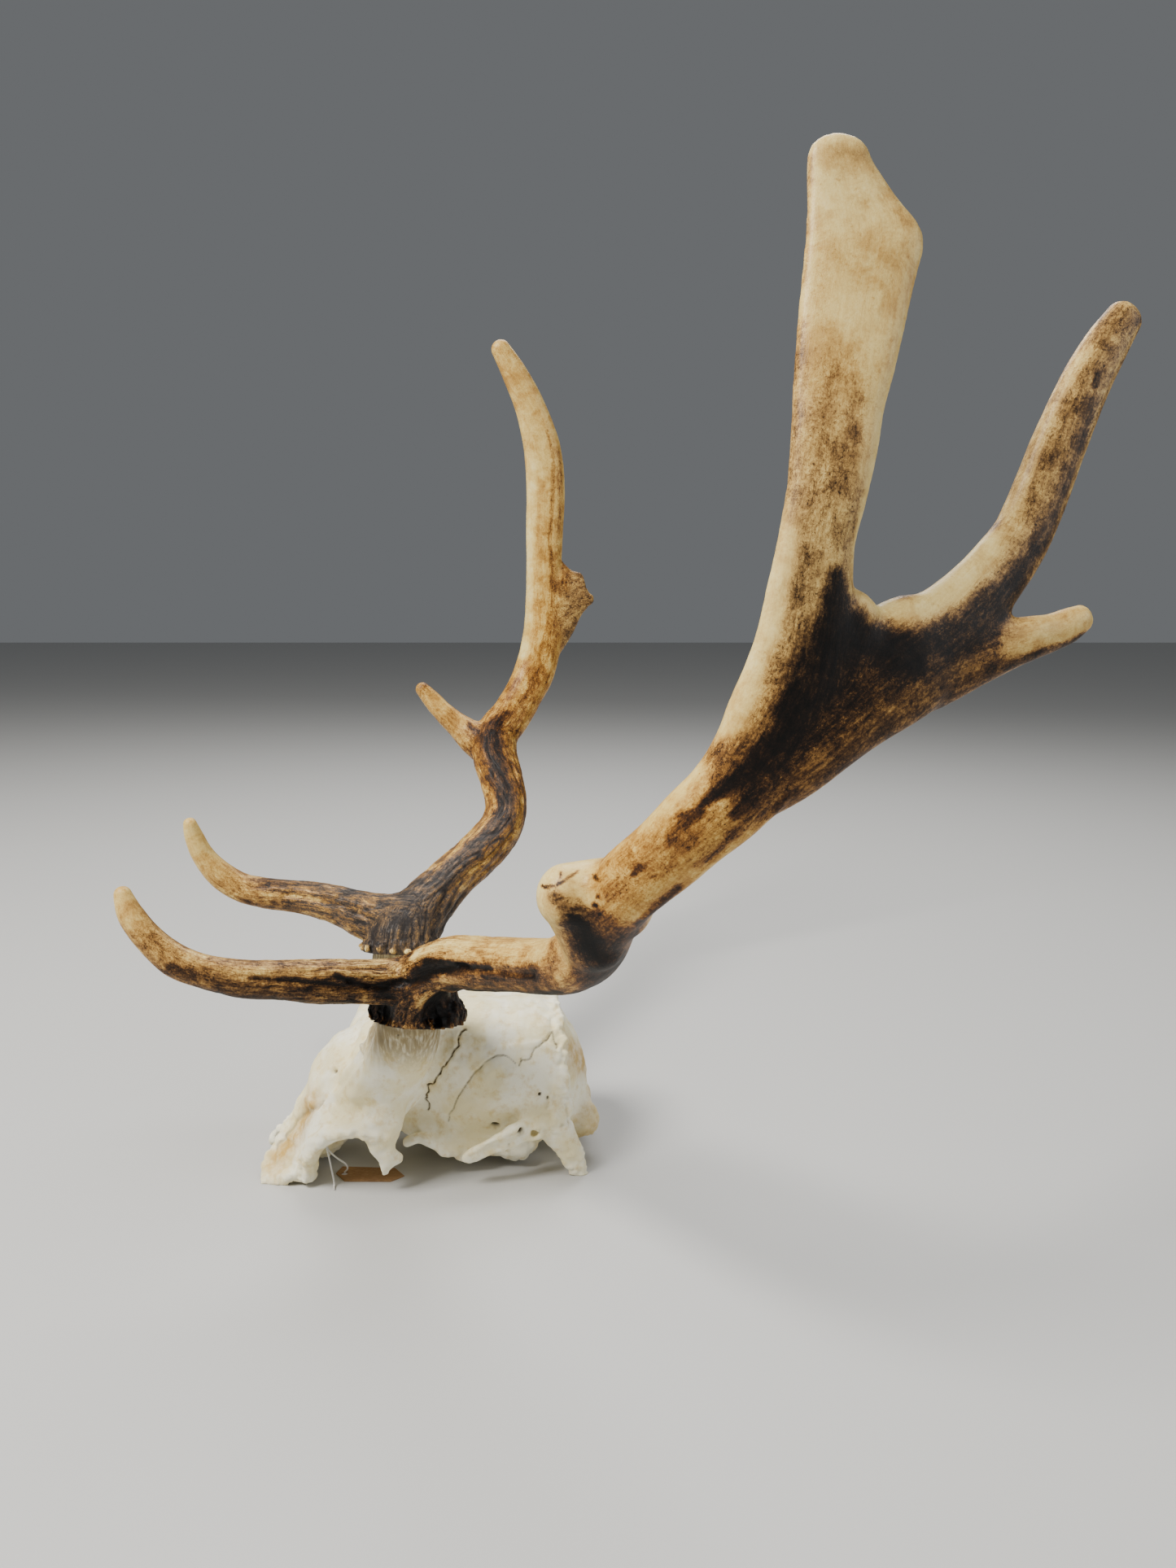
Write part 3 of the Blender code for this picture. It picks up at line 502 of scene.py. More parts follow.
def new_node(tree, kind, settings=None, values=None):
    """A node with its settings, then its sockets' values or links."""
    node = tree.nodes.new(kind)
    for key, value in (settings or {}).items():
        setattr(node, key, value)
    for key, value in (values or {}).items():
        if isinstance(value, bpy.types.NodeSocket):
            tree.links.new(value, node.inputs[key])
        else:
            node.inputs[key].default_value = value
    return node


def bead_ring_tree(material):
    tree = bpy.data.node_groups.new("bead ring", "GeometryNodeTree")
    for label, kind in (("Ring Radius", "NodeSocketFloat"), ("Bead Count", "NodeSocketInt"),
                        ("Bead Radius", "NodeSocketFloat"), ("Bead Stretch", "NodeSocketFloat"),
                        ("Wander", "NodeSocketFloat"), ("Seed", "NodeSocketInt")):
        tree.interface.new_socket(label, in_out="INPUT", socket_type=kind)
    tree.interface.new_socket("Geometry", in_out="OUTPUT", socket_type="NodeSocketGeometry")
    given = new_node(tree, "NodeGroupInput").outputs

    def times(socket, factor):
        return new_node(tree, "ShaderNodeMath", {"operation": "MULTIPLY"}, {0: socket, 1: factor}).outputs[0]

    circle = new_node(tree, "GeometryNodeMeshCircle", values={
        "Vertices": given["Bead Count"], "Radius": given["Ring Radius"]})
    drift = new_node(tree, "FunctionNodeRandomValue", {"data_type": "FLOAT_VECTOR"}, {
        0: times(given["Wander"], -1.0), 1: given["Wander"], "Seed": given["Seed"]})
    placed = new_node(tree, "GeometryNodeSetPosition", values={
        "Geometry": circle.outputs["Mesh"], "Offset": drift.outputs[0]})
    ball = new_node(tree, "GeometryNodeMeshIcoSphere", values={"Radius": 1.0, "Subdivisions": 2})
    small, large = (times(given["Bead Radius"], part) for part in BEAD_SIZES)
    size = new_node(tree, "FunctionNodeRandomValue", {"data_type": "FLOAT_VECTOR"}, {
        0: small, 1: large, "Seed": given["Seed"]})
    upright = new_node(tree, "ShaderNodeCombineXYZ", values={0: 1.0, 1: 1.0, 2: given["Bead Stretch"]})
    shape = new_node(tree, "ShaderNodeVectorMath", {"operation": "MULTIPLY"}, {
        0: size.outputs[0], 1: upright.outputs[0]})
    beads = new_node(tree, "GeometryNodeInstanceOnPoints", values={
        "Points": placed.outputs[0], "Instance": ball.outputs["Mesh"], "Scale": shape.outputs[0]})
    real = new_node(tree, "GeometryNodeRealizeInstances", values={0: beads.outputs[0]})
    dressed = new_node(tree, "GeometryNodeSetMaterial", values={
        "Geometry": real.outputs[0], "Material": material})
    new_node(tree, "NodeGroupOutput", values={0: dressed.outputs[0]})
    return tree


def tree_inputs(tree):
    return [item for item in tree.interface.items_tree if item.in_out == "INPUT"]


def grown(tree, settings):
    """Points and faces that a tree grows from its named inputs."""
    thing = add_object(tree.name, bpy.data.meshes.new(tree.name))
    modifier = thing.modifiers.new(tree.name, "NODES")
    modifier.node_group = tree
    for item in tree_inputs(tree):
        modifier[item.identifier] = settings[item.name]
    settled(thing)
    points = read_points(thing.data)
    faces = [tuple(face.vertices) for face in thing.data.polygons]
    bpy.data.objects.remove(thing, do_unlink=True)
    return points, faces


bead_tree = bead_ring_tree(bpy.data.materials.new("bead"))
print("bead ring inputs:", ", ".join(item.name for item in tree_inputs(bead_tree)))

# %% [markdown]
# ## Where the burr sits
#
# Each burr is a low disc on a slightly leaning axis, with two or three rows of beads. The left one
# stands a little lower and further back than the right one.

# %% Burr
BURR_JOINT = {"left": (-60.5, -53.0, 96.0), "right": (-69.0, 53.0, 98.2)}
BURR_LEAN = {"left": (0.09, 0.16), "right": (0.05, 0.22)}
BURR_RADIUS = 24.0
BURR_HEIGHT = 7.5
BEAD_WANDER = 0.32              # how far a bead strays, as a part of its radius
# One row of beads: ring radius, how many, bead radius, stretch upwards, height above the joint.
BEAD_ROWS = {
    "left": [(23.0, 30, 2.0, 2.0, 4.4), (21.0, 22, 1.7, 2.0, 9.4), (22.8, 30, 1.6, 1.1, 1.0)],
    "right": [(23.2, 17, 2.4, 0.9, 2.6), (22.0, 23, 1.5, 1.3, 5.6)],
}


def burr_axis(side):
    return Vector((*BURR_LEAN[side], 1.0)).normalized()


def burr_place(side):
    turn = burr_axis(side).to_track_quat("Z", "X").to_matrix().to_4x4()
    return np.array(Matrix.Translation(BURR_JOINT[side]) @ turn)


def burr_skins(side, tree, seed):
    """The disc and its bead rows, standing on the joint."""
    disc = Limb([(0, 0, -3, BURR_RADIUS - 2.0, BURR_RADIUS - 2.0, 0),
                 (0, 0, BURR_HEIGHT, BURR_RADIUS - 3.4, BURR_RADIUS - 3.4, 0)])
    skins = [disc.skin(fullness=2.0)]
    for row, (radius, count, size, stretch, height) in enumerate(BEAD_ROWS[side]):
        points, faces = grown(tree, {
            "Ring Radius": radius * MM, "Bead Count": count, "Bead Radius": size * MM,
            "Bead Stretch": stretch, "Wander": BEAD_WANDER * size * MM, "Seed": seed + row})
        skins.append((points + (0, 0, height), faces))
    place = burr_place(side)
    return [(points @ place[:3, :3].T + place[:3, 3], faces) for points, faces in skins]


for side in BURR_JOINT:
    print(side, "burr:", sum(row[1] for row in BEAD_ROWS[side]), "beads")

# %% [markdown]
# ## Ridges, gutters and stains as brush strokes
#
# Low on the antler, blood vessels left long wavy gutters with rounded ridges between them, and the
# higher parts are worn smooth. Dark stain sits in the gutters and the hollows, and the edges are
# rubbed pale. Painting an image would do it, but images don't follow a change of shape. Here
# each feature is a brush stroke in a limb's own directions: distance along, distance across and
# the brush's radius, so both faces of a blade get it.

# %% Brush
BOTH, FRONT, BACK = 0, 1, -1
PAINT_REACH = (9.0, 4.0)        # heights above the limb's skin where a stroke starts and is full
FACE_EDGE = (-2.0, 3.0)         # distances out of the middle where a one-sided stroke does


def brush(place, path, side=BOTH, softness=0.75):
    """How fully a stroke covers each point, from 0 to 1."""
    cover = np.zeros(len(place.along))
    for (s0, a0, r0), (s1, a1, r1) in zip(path, path[1:] or path):
        ds, da = s1 - s0, a1 - a0
        t = ((place.along - s0) * ds + (place.across - a0) * da) / max(ds * ds + da * da, 1e-9)
        t = np.clip(t, 0.0, 1.0)
        gap = np.hypot(place.along - s0 - t * ds, place.across - a0 - t * da) / (r0 + t * (r1 - r0))
        cover = np.maximum(cover, smooth_step(1 + softness, 1 - softness, gap))
    cover *= smooth_step(*PAINT_REACH, place.height)
    if side != BOTH:
        cover *= smooth_step(*FACE_EDGE, side * place.out)
    return cover


def along_profile(place, table):
    """A value that changes along a limb, from rows of distance and value."""
    distances, values = zip(*table)
    return np.interp(place.along, distances, values)


probe = Place(*np.array([[5.0], [2.0], [4.0], [0.0]]))
print("cover on the edge of a stroke:", brush(probe, [(0, 0, 2), (10, 0, 2)])[0])

# %% [markdown]
# ## Left antler's surface
#
# Tone runs from 0, bare cream bone, through tan and brown to 1, nearly black. The tables say how
# gnarled each limb is along its length, its ground tone and how amber that is, and then give the
# strokes in the order in which they are laid.

# %% Left antler's strokes
LEFT_GNARL = {
    "beam": [(0, 1.0), (40, 1.0), (80, 0.55), (140, 0.3), (180, 0.2), (250, 0.1), (480, 0.04)],
    "brow": [(0, 1.0), (35, 0.85), (80, 0.5), (120, 0.2), (150, 0.06)],
    "knob neck": [(0, 0.2), (18, 0.1)],
}
LEFT_GROUND = {
    "beam": [(0, 0.95), (20, 0.85), (34, 0.60), (60, 0.46), (120, 0.40), (160, 0.38), (185, 0.46),
             (205, 0.46), (222, 0.28), (250, 0.25), (300, 0.24), (330, 0.26), (370, 0.20), (480, 0.14)],
    "blade": [(0, 0.26), (40, 0.22), (60, 0.18), (90, 0.17), (120, 0.13)],
    "brow": [(0, 0.66), (30, 0.52), (60, 0.48), (90, 0.44), (120, 0.40), (140, 0.32), (158, 0.26)],
    "knob": [(0, 0.20), (12, 0.12), (30, 0.08)], "knob neck": [(0, 0.40), (14, 0.26)],
    "web": [(0, 0.5), (43, 0.4)],
    "rear": [(0, 0.4), (60, 0.42), (120, 0.34), (150, 0.36), (200, 0.40), (230, 0.30)],
    "short": [(0, 0.5), (40, 0.26), (65, 0.20)],
}
# How amber the stain is: 1 is honey-coloured, 0 grey-brown.
LEFT_AMBER = {
    "beam": [(0, 0.6), (60, 0.7), (150, 0.8), (225, 1.0), (270, 0.9), (320, 0.4), (350, 0.15)],
    "brow": [(0, 0.6), (80, 0.5), (150, 0.6)], "blade": [(0, 0.2), (50, 0.6), (90, 0.6), (115, 0.3)],
    "rear": [(0, 0.7), (100, 0.25)], "short": [(0, 0.6), (50, 0.5)], "knob": [(0, 0.6), (10, 0.3)],
    "web": [(0, 0.6), (40, 0.3)], "knob neck": [(0, 0.6)],
}
# One stroke: limb, tone, face, and the path as rows of distance along, distance across, radius.
# The upper antler is flat, so strokes on its "sheet" are rows of height, x and radius instead.
LEFT_STROKES = [
    # Lower beam: a pale top, thin dark gutters and a brown belly.
    ("beam", 0.20, BOTH, [(44, -9, 4), (70, -9, 5), (110, -9, 6), (166, -8, 5)]),
    ("beam", 0.56, BOTH, [(50, 3, 5), (90, 4, 5), (120, 4, 5), (156, 4, 5)]),
    ("beam", 0.88, FRONT, [(54, -2, 2.0), (70, -2, 1.4), (90, -1, 1.0), (112, 0, 0.8)]),
    ("beam", 0.84, FRONT, [(48, 3, 1.0), (62, 2, 1.4), (76, 2, 1.0)]),
    ("beam", 0.80, BOTH, [(104, 3, 1.4), (118, 4, 1.4), (134, 2, 2.6), (154, 1, 3.6)]),
    ("beam", 0.84, BOTH, [(60, 11, 2.2), (110, 11, 1.8), (160, 10, 1.4)]),
    # Elbow: dark mottling, with a tan band in front of it.
    ("sheet", 0.80, BOTH, [(194, -5, 4.6), (187, 0, 7), (176, 5, 8), (168, 7, 7)]),
    ("sheet", 0.60, BOTH, [(203, -12, 2), (199, -7, 3), (196, 2, 4), (190, 12, 4)]),
    ("sheet", 0.90, BOTH, [(196, -6, 1.4), (192, -2, 2.6), (184, 1, 3.2), (177, 6, 3.6), (168, 8, 4)]),
    ("sheet", 0.97, BOTH, [(195, -4, 1.2), (187, 0, 1.8), (181, 2, 2.0), (177, 7, 1.8)]),
    ("sheet", 0.84, BOTH, [(185, 12, 3), (172, 13, 4), (160, 8, 3.5), (153, 0, 2.0)]),
    ("sheet", 0.26, BOTH, [(190, -10, 0.9), (181, -8, 1.3), (170, -5, 1.6), (163, -7, 2.0)]),
    ("sheet", 0.16, BOTH, [(205, 2, 3.4), (202, 0, 2.4)]),
    ("sheet", 0.72, BOTH, [(180, 14, 3), (192, 17, 3), (203, 21, 1.9), (211, 27, 1.1)]),
    # Knob: a crack with a branch, and four pinholes, which are dark dots of painted shade with no hole
    # carved.
    ("sheet", 0.66, FRONT, [(205.6, -16, 0.4), (206.6, -12, 0.4), (209, -8, 0.4), (211.6, -3, 0.3)]),
    ("sheet", 0.50, FRONT, [(208, -10.5, 0.4), (211, -9.4, 0.3)]),
    ("sheet", 0.99, FRONT, [(200.7, 1.5, 1.0)]), ("sheet", 0.99, FRONT, [(204.2, 2.3, 0.7)]),
    ("sheet", 0.90, FRONT, [(210.5, 1.7, 0.7)]), ("sheet", 0.90, FRONT, [(197.4, 3.0, 0.6)]),
    # Above the elbow: a pale edge, an amber middle, a trail of blotches and a pale lower line.
    ("sheet", 0.34, BOTH, [(206, 7, 4.5), (216, 15, 5.8), (224, 23, 5.8), (233, 31, 5.8), (236, 40, 5)]),
    ("sheet", 0.09, BOTH, [(216, -3, 3), (224, 4, 3.4), (234, 11, 4), (247, 22, 4.4), (258, 31, 4),
                           (267, 37, 3.2)]),
    ("sheet", 0.62, BOTH, [(215, 12, 0.8), (218, 14, 1.4)]),
    ("sheet", 0.66, BOTH, [(227, 22, 1.2), (231, 23, 1.8), (236, 26, 2), (239, 30, 2)]),
    # Palm: brown all over, nearly black along its upper edge and in a second arm, and tan below.
    ("sheet", 0.78, BOTH, [(240, 42, 3), (249, 50, 9), (270, 64, 17), (284, 80, 19), (290, 98, 16),
                           (297, 122, 10), (306, 132, 7)]),
    ("sheet", 0.64, BOTH, [(241, 56, 3), (250, 66, 4.4), (259, 79, 4.8), (268, 95, 5), (275, 113, 5),
                           (284, 134, 3.6)]),
    ("sheet", 0.90, BOTH, [(241, 31, 1.2), (248, 38, 3.2), (254, 46, 5), (262, 54, 7), (271, 60, 9),
                           (282, 65, 10), (293, 70, 10), (304, 71, 6), (314, 71, 3)]),
    ("sheet", 0.94, BOTH, [(295, 76, 8), (296, 84, 7), (291, 92, 7), (286, 99, 5)]),
    ("sheet", 0.86, BOTH, [(296, 107, 4.4), (293, 120, 4.4), (297, 129, 4)]),
    ("sheet", 0.34, BOTH, [(318, 79, 3), (309, 81, 4), (303, 87, 4), (301, 96, 4), (303, 105, 5),
                           (308, 114, 6)]),
    ("sheet", 0.12, BOTH, [(322, 79, 1.8), (314, 79.5, 2.2), (309, 81, 2.4), (305.5, 86, 2.8), (304, 93, 3),
                           (304, 100, 3.4), (306, 107, 4.4), (311, 116, 5), (318, 125, 5.2),
                           (326, 133, 4.6)]),
    ("sheet", 0.50, BOTH, [(220, 32, 1.6), (226, 37, 2.2), (235, 45, 1.6), (245, 56, 1.2), (253, 68, 1)]),
    ("sheet", 0.46, BOTH, [(256, 37, 4), (268, 45, 4), (282, 51, 4), (298, 56, 4), (312, 60, 4),
                           (326, 62, 4)]),
    ("sheet", 0.12, BOTH, [(268, 39, 5), (282, 44, 5.4), (298, 49, 5), (313, 52, 4.6), (326, 56, 4)]),
    # Rear tines.
    ("sheet", 0.80, BOTH, [(299, 128, 4.6), (308, 138, 5), (317, 144, 4.6), (326, 151, 4)]),
    ("sheet", 0.26, BOTH, [(328, 140, 5), (338, 146, 6)]),
    ("sheet", 0.46, BOTH, [(336, 150, 5), (347, 154, 8), (362, 160, 8), (379, 168, 7.4), (392, 178, 7),
                           (402, 185, 6)]),
    ("sheet", 0.64, BOTH, [(326, 151, 3.5), (337, 158, 3), (350, 163, 2.8), (362, 167, 2.6),
                           (374, 170, 2.3)]),
    ("sheet", 0.82, BOTH, [(379, 172, 1.2), (383, 173, 1.4)]),
    ("sheet", 0.26, BOTH, [(338, 143, 2.2), (349, 148, 2.2), (365, 155, 2.0), (382, 164, 1.8),
                           (392, 171, 1.6)]),
    ("sheet", 0.50, BOTH, [(338, 138, 0.8), (350, 144, 1.0), (366, 151, 1.0)]),
    ("sheet", 0.14, BOTH, [(297, 147, 3.2), (297, 158, 3.7), (300, 169, 3.2)]),
    ("sheet", 0.72, BOTH, [(284, 136, 2.2), (288, 148, 2), (291, 161, 1.5), (295, 169, 1.2)]),
    # Blade: mottled low down, a pale rear edge and a speckled top.
    ("sheet", 0.29, BOTH, [(332, 68, 9), (346, 68, 10), (362, 70, 10), (374, 73, 8)]),
    ("sheet", 0.38, BOTH, [(322, 74, 4), (330, 71, 7), (340, 69, 7), (350, 69, 5)]),
    ("sheet", 0.12, BOTH, [(318, 79, 2.4), (326, 79.5, 1.9), (335, 81, 1.5)]),
    ("sheet", 0.38, BOTH, [(358, 76, 3), (368, 78, 2.4)]),
    ("sheet", 0.34, BOTH, [(338, 57, 2.4), (353, 58, 2.2), (372, 59, 2.2), (391, 61, 1.8)]),
    ("sheet", 0.12, BOTH, [(332, 80, 1.4), (348, 84, 1.8), (365, 88, 2.2), (380, 92, 2.6)]),
    ("sheet", 0.20, BOTH, [(446, 71, 3), (446, 78, 3), (443, 84, 3), (434, 90, 2), (424, 96, 2)]),
    ("sheet", 0.28, BOTH, [(443, 66, 1.1), (431, 65, 1.0), (418, 64, 0.9), (404, 63, 0.8)]),
    # Brow tine: a pale top, thin dark gutters, and a dark underside.
    ("brow", 0.34, BOTH, [(10, 8, 3), (50, 8, 3), (90, 7, 3), (120, 6, 2.4)]),
    ("brow", 0.84, FRONT, [(26, 1, 1.0), (40, 2, 1.6), (66, 3, 1.2), (84, 3, 0.8)]),
    ("brow", 0.88, FRONT, [(60, -3, 0.8), (80, -3, 1.2), (100, -2, 1.2), (114, -1, 0.8)]),
    ("brow", 0.76, BOTH, [(36, -7, 1.8), (70, -8, 2.4), (104, -7, 2)]),
    ("brow", 0.62, BOTH, [(56, -2, 3), (92, -2, 3), (116, -2, 2.4)]),
    ("brow", 0.20, BOTH, [(146, 0, 6), (160, 0, 6)]),
    # Stalk: net-like brown between two black hollows, under a black channel.
    ("sheet", 0.78, FRONT, [(119, -72, 6), (110, -67, 9), (100, -66, 9)]),
    ("sheet", 0.98, FRONT, [(102, -80, 4), (107, -78, 4.6), (111, -82, 2.4)]),
    ("sheet", 0.99, FRONT, [(103, -53, 5.4), (111, -50, 6.6), (118, -46, 5), (123, -39, 2)]),
    ("sheet", 0.94, FRONT, [(132, -98, 1), (128, -91, 1.4), (124, -83, 1.6), (123, -74, 2), (125, -65, 2.6),
                            (131, -59, 3), (135, -55, 2.8), (140, -48, 2), (145, -40, 1.4), (150, -30, 1.2)]),
    ("sheet", 0.40, FRONT, [(113, -60, 1.6), (121, -56, 2), (129, -51, 2.2), (136, -42, 2.4)]),
]
# Grooves and hollows: limb, depth, face and path. A ridge has a depth below 0.
LEFT_CARVING = [
    ("sheet", 5.0, FRONT, [(104, -53, 5), (111, -50, 6), (117, -47, 4.4)]),
    ("sheet", 3.0, FRONT, [(102, -80, 3.6), (107, -77, 4)]),
    ("sheet", 1.8, FRONT, [(128, -91, 1.4), (124, -83, 1.6), (123, -74, 1.8), (125, -65, 2.2),
                           (131, -59, 2.4),
                           (135, -55, 2), (140, -48, 1.6), (145, -40, 1.2)]),
    ("beam", 1.2, FRONT, [(80, -1, 1.4), (110, 0, 1.2), (150, 1, 1.2)]),
    ("brow", 1.2, FRONT, [(30, 0, 1.2), (50, 1, 1.2), (80, 3, 1.0)]),
    ("beam", -0.7, BOTH, [(228, 11, 1.0), (262, 12, 1.2), (290, 14, 1.2)]),
]
print("left antler:", len(LEFT_STROKES), "strokes and", len(LEFT_CARVING), "grooves and ridges")

# %% [markdown]
# ## Right antler's surface
#
# The right antler is gnarled much further up. A grey-brown strip runs up the middle of its beam
# between orange-tan edges, and ends in a dark patch at the fork.

# %% Right antler's strokes
RIGHT_GNARL = {
    "beam": [(0, 1.0), (60, 1.0), (140, 0.8), (220, 0.6), (270, 0.25), (530, 0.06)],
    "brow": [(0, 1.0), (60, 0.9), (100, 0.4), (150, 0.08)],
    "trez": [(0, 0.6), (30, 0.2), (70, 0.1)], "spur": [(0, 0.2), (28, 0.3)],
}
RIGHT_GROUND = {
    "beam": [(0, 0.8), (30, 0.66), (80, 0.50), (150, 0.48), (220, 0.46), (250, 0.32), (330, 0.24),
             (440, 0.18), (530, 0.22)],
    "brow": [(0, 0.74), (50, 0.56), (90, 0.42), (120, 0.26), (155, 0.14)],
    "trez": [(0, 0.55), (24, 0.32), (60, 0.22), (70, 0.35)],
    "spur": [(0, 0.26), (14, 0.40), (30, 0.40)],
}
RIGHT_AMBER = {
    "beam": [(0, 0.3), (40, 0.6), (90, 1.0), (330, 1.0), (420, 0.7)], "brow": [(0, 0.5), (150, 0.7)],
    "trez": [(0, 0.8)], "spur": [(0, 0.8), (16, 0.4)],
}
RIGHT_STROKES = [
    ("beam", 0.80, BOTH, [(0, 0, 30), (4, 0, 30)]),
    ("beam", 0.70, BOTH, [(8, 2, 12), (30, 2, 9), (50, 3, 7)]),
    ("beam", 0.36, BACK, [(56, 2, 4), (104, 2, 4.4), (137, 1, 4.4), (157, 2, 4), (182, -1, 4),
                          (203, -5, 4), (230, -8, 4)]),
    ("beam", 0.80, BACK, [(40, 12, 3), (88, 12, 3.4), (122, 12, 3.4), (144, 12, 3.4), (169, 12, 3.4),
                          (190, 11, 3.8)]),
    ("beam", 0.84, BACK, [(190, 10, 4), (208, 9, 5), (222, 9, 6), (238, 7, 4.4), (248, 5, 2.4)]),
    ("beam", 0.32, FRONT, [(56, 13, 3), (120, 13, 3), (176, 12, 3), (204, 12, 3)]),
    ("beam", 0.34, BOTH, [(240, 0, 4), (262, -2, 5), (290, -3, 5), (330, -7, 4), (372, -9, 3)]),
    ("beam", 0.50, BOTH, [(252, 2, 1.4), (268, 0, 1.6), (284, 1, 1.2)]),
    ("beam", 0.38, BACK, [(464, -5, 0.8), (448, -6, 1.2), (416, -4, 1.3), (391, -3, 1.3), (366, -5, 1.6),
                          (340, -5, 1.8), (314, -1, 2)]),
    ("beam", 0.30, BOTH, [(372, -9, 3), (396, -10, 2.4), (450, -10, 2.4)]),
    ("beam", 0.05, BOTH, [(300, 12, 3), (380, 12, 3.4), (450, 9, 3.4)]),
    ("sheet", 0.46, BOTH, [(328, 52, 2), (310, 55, 5), (296, 60, 5), (304, 67, 4)]),
    ("brow", 0.64, BOTH, [(10, -10, 6), (50, -8, 4.0), (86, -8, 2.6)]),
    ("brow", 0.36, BOTH, [(54, -2, 2.0), (84, -3, 2.4), (100, -2, 2.4)]),
    ("brow", 0.46, BOTH, [(20, 8, 4.4), (60, 7, 3.6), (100, 5, 2.6)]),
    ("trez", 0.66, BOTH, [(0, -2, 6), (16, -5, 2.8), (26, -6, 1.6)]),
]
RIGHT_CARVING = [
    ("beam", 1.6, BACK, [(12, 6, 2.4), (40, 8, 2.0), (90, 5, 1.6), (150, 3, 1.6), (196, 0, 1.5)]),
    ("beam", 1.2, BACK, [(20, -4, 2.0), (60, -3, 1.6), (120, -2, 1.3)]),
    ("brow", 1.4, BACK, [(8, -2, 2.0), (40, -3, 1.8), (76, -2, 1.2)]),
]
print("right antler:", len(RIGHT_STROKES), "strokes and", len(RIGHT_CARVING), "grooves")

# %% [markdown]
# ## Cutting, sharing and storing
#
# An antler needs a few helpers before it can grow. One cuts it flat where it meets the bone. Others
# share each point out between the limbs and draw the ridges. The last ones store the results on
# the mesh as attributes. An image would need the antler unwrapped first, but an attribute
# belongs to each point, and a finish reads it by name.

# %% Cutting and sharing
RIDGE_WIDTH, RIDGE_LENGTH = 3.2, 26.0
FINE_RIDGE_WIDTH, FINE_RIDGE_LENGTH = 1.7, 11.0
RIDGE_SWAY, SWAY_SIZE = 2.2, (14, 14, 22)
BLEND_WIDTH = 1.8               # over what height one limb's share gives way to another's


def cut_flat(thing, place, normal, reaches=None):
    """Removes what lies beyond a plane and closes the hole with a flat face.

    With a test called reaches, it only cuts faces that touch a point which passes.
    """
    bm = bmesh.new()
    bm.from_mesh(thing.data)
    parts = [*bm.verts, *bm.edges, *bm.faces]
    if reaches:
        verts = [vert for vert in bm.verts if reaches(vert.co)]
        edges = {edge for vert in verts for edge in vert.link_edges}
        parts = [*verts, *edges, *{face for vert in verts for face in vert.link_faces}]
    cut = bmesh.ops.bisect_plane(bm, geom=parts, dist=1e-7, plane_co=Vector(place) * MM,
                                 plane_no=Vector(normal), clear_outer=True)
    rim = [part for part in cut["geom_cut"] if isinstance(part, bmesh.types.BMEdge)]
    caps = bmesh.ops.holes_fill(bm, edges=rim, sides=0)["faces"]
    bmesh.ops.triangulate(bm, faces=caps)
    bm.to_mesh(thing.data)
    bm.free()


def shares(places):
    """How much each point belongs to each limb. The shares of a point add up to 1."""
    height = np.stack([place.height for place in places.values()])
    weight = np.exp(-(height - height.min(axis=0)) / BLEND_WIDTH)
    return dict(zip(places, weight / weight.sum(axis=0)))


def ridge_pattern(place, seed):
    """Long wavy ridges from 0 in a gutter to 1 on a crest, and finer ones on top."""
    grain = np.stack([place.across, place.out, place.along], axis=1)
    sway = noise(grain, SWAY_SIZE, seed + 7)[:, None] * (RIDGE_SWAY, RIDGE_SWAY, 0)
    coarse = abs(noise(grain + sway, (RIDGE_WIDTH, RIDGE_WIDTH, RIDGE_LENGTH), seed))
    fine = abs(noise(grain + sway, (FINE_RIDGE_WIDTH, FINE_RIDGE_WIDTH, FINE_RIDGE_LENGTH), seed + 1))
    return np.clip(coarse * 3.2, 0, 1) * 0.7 + np.clip(fine * 2.6, 0, 1) * 0.3


def set_attribute(mesh, name, values, kind="FLOAT", domain="POINT"):
    """Stores values on a mesh under a name that its finish reads."""
    layer = mesh.attributes.new(name, kind, domain)
    layer.data.foreach_set("vector" if kind == "FLOAT_VECTOR" else "value",
                           np.ascontiguousarray(values, np.float32).ravel())


def grain_on_corners(mesh, places):
    """Every face takes the growing direction of its nearest limb, so no face is torn between two."""
    height = np.stack([place.height for place in places.values()])
    grain = np.stack([np.stack([place.across, place.out, place.along], axis=1)
                      for place in places.values()])
    corner_point = np.empty(len(mesh.loops), int)
    mesh.loops.foreach_get("vertex_index", corner_point)
    first = np.empty(len(mesh.polygons), int)
    total = np.empty(len(mesh.polygons), int)
    mesh.polygons.foreach_get("loop_start", first)
    mesh.polygons.foreach_get("loop_total", total)
    face_limb = height.argmin(axis=0)[corner_point[first]]
    return grain[np.repeat(face_limb, total), corner_point] * MM


spread = ridge_pattern(probe, seed=11)
print("a ridge value lies between 0 and 1:", round(float(spread[0]), 2))

# %% [markdown]
# ## Growing an antler
#
# The fine surface is fused, cut flat where it joins the bone, and relaxed at the forks. Each point
# then looks itself up on every limb and shares itself between the limbs near it, so ridges
# blend at a fork instead of meeting at a line.

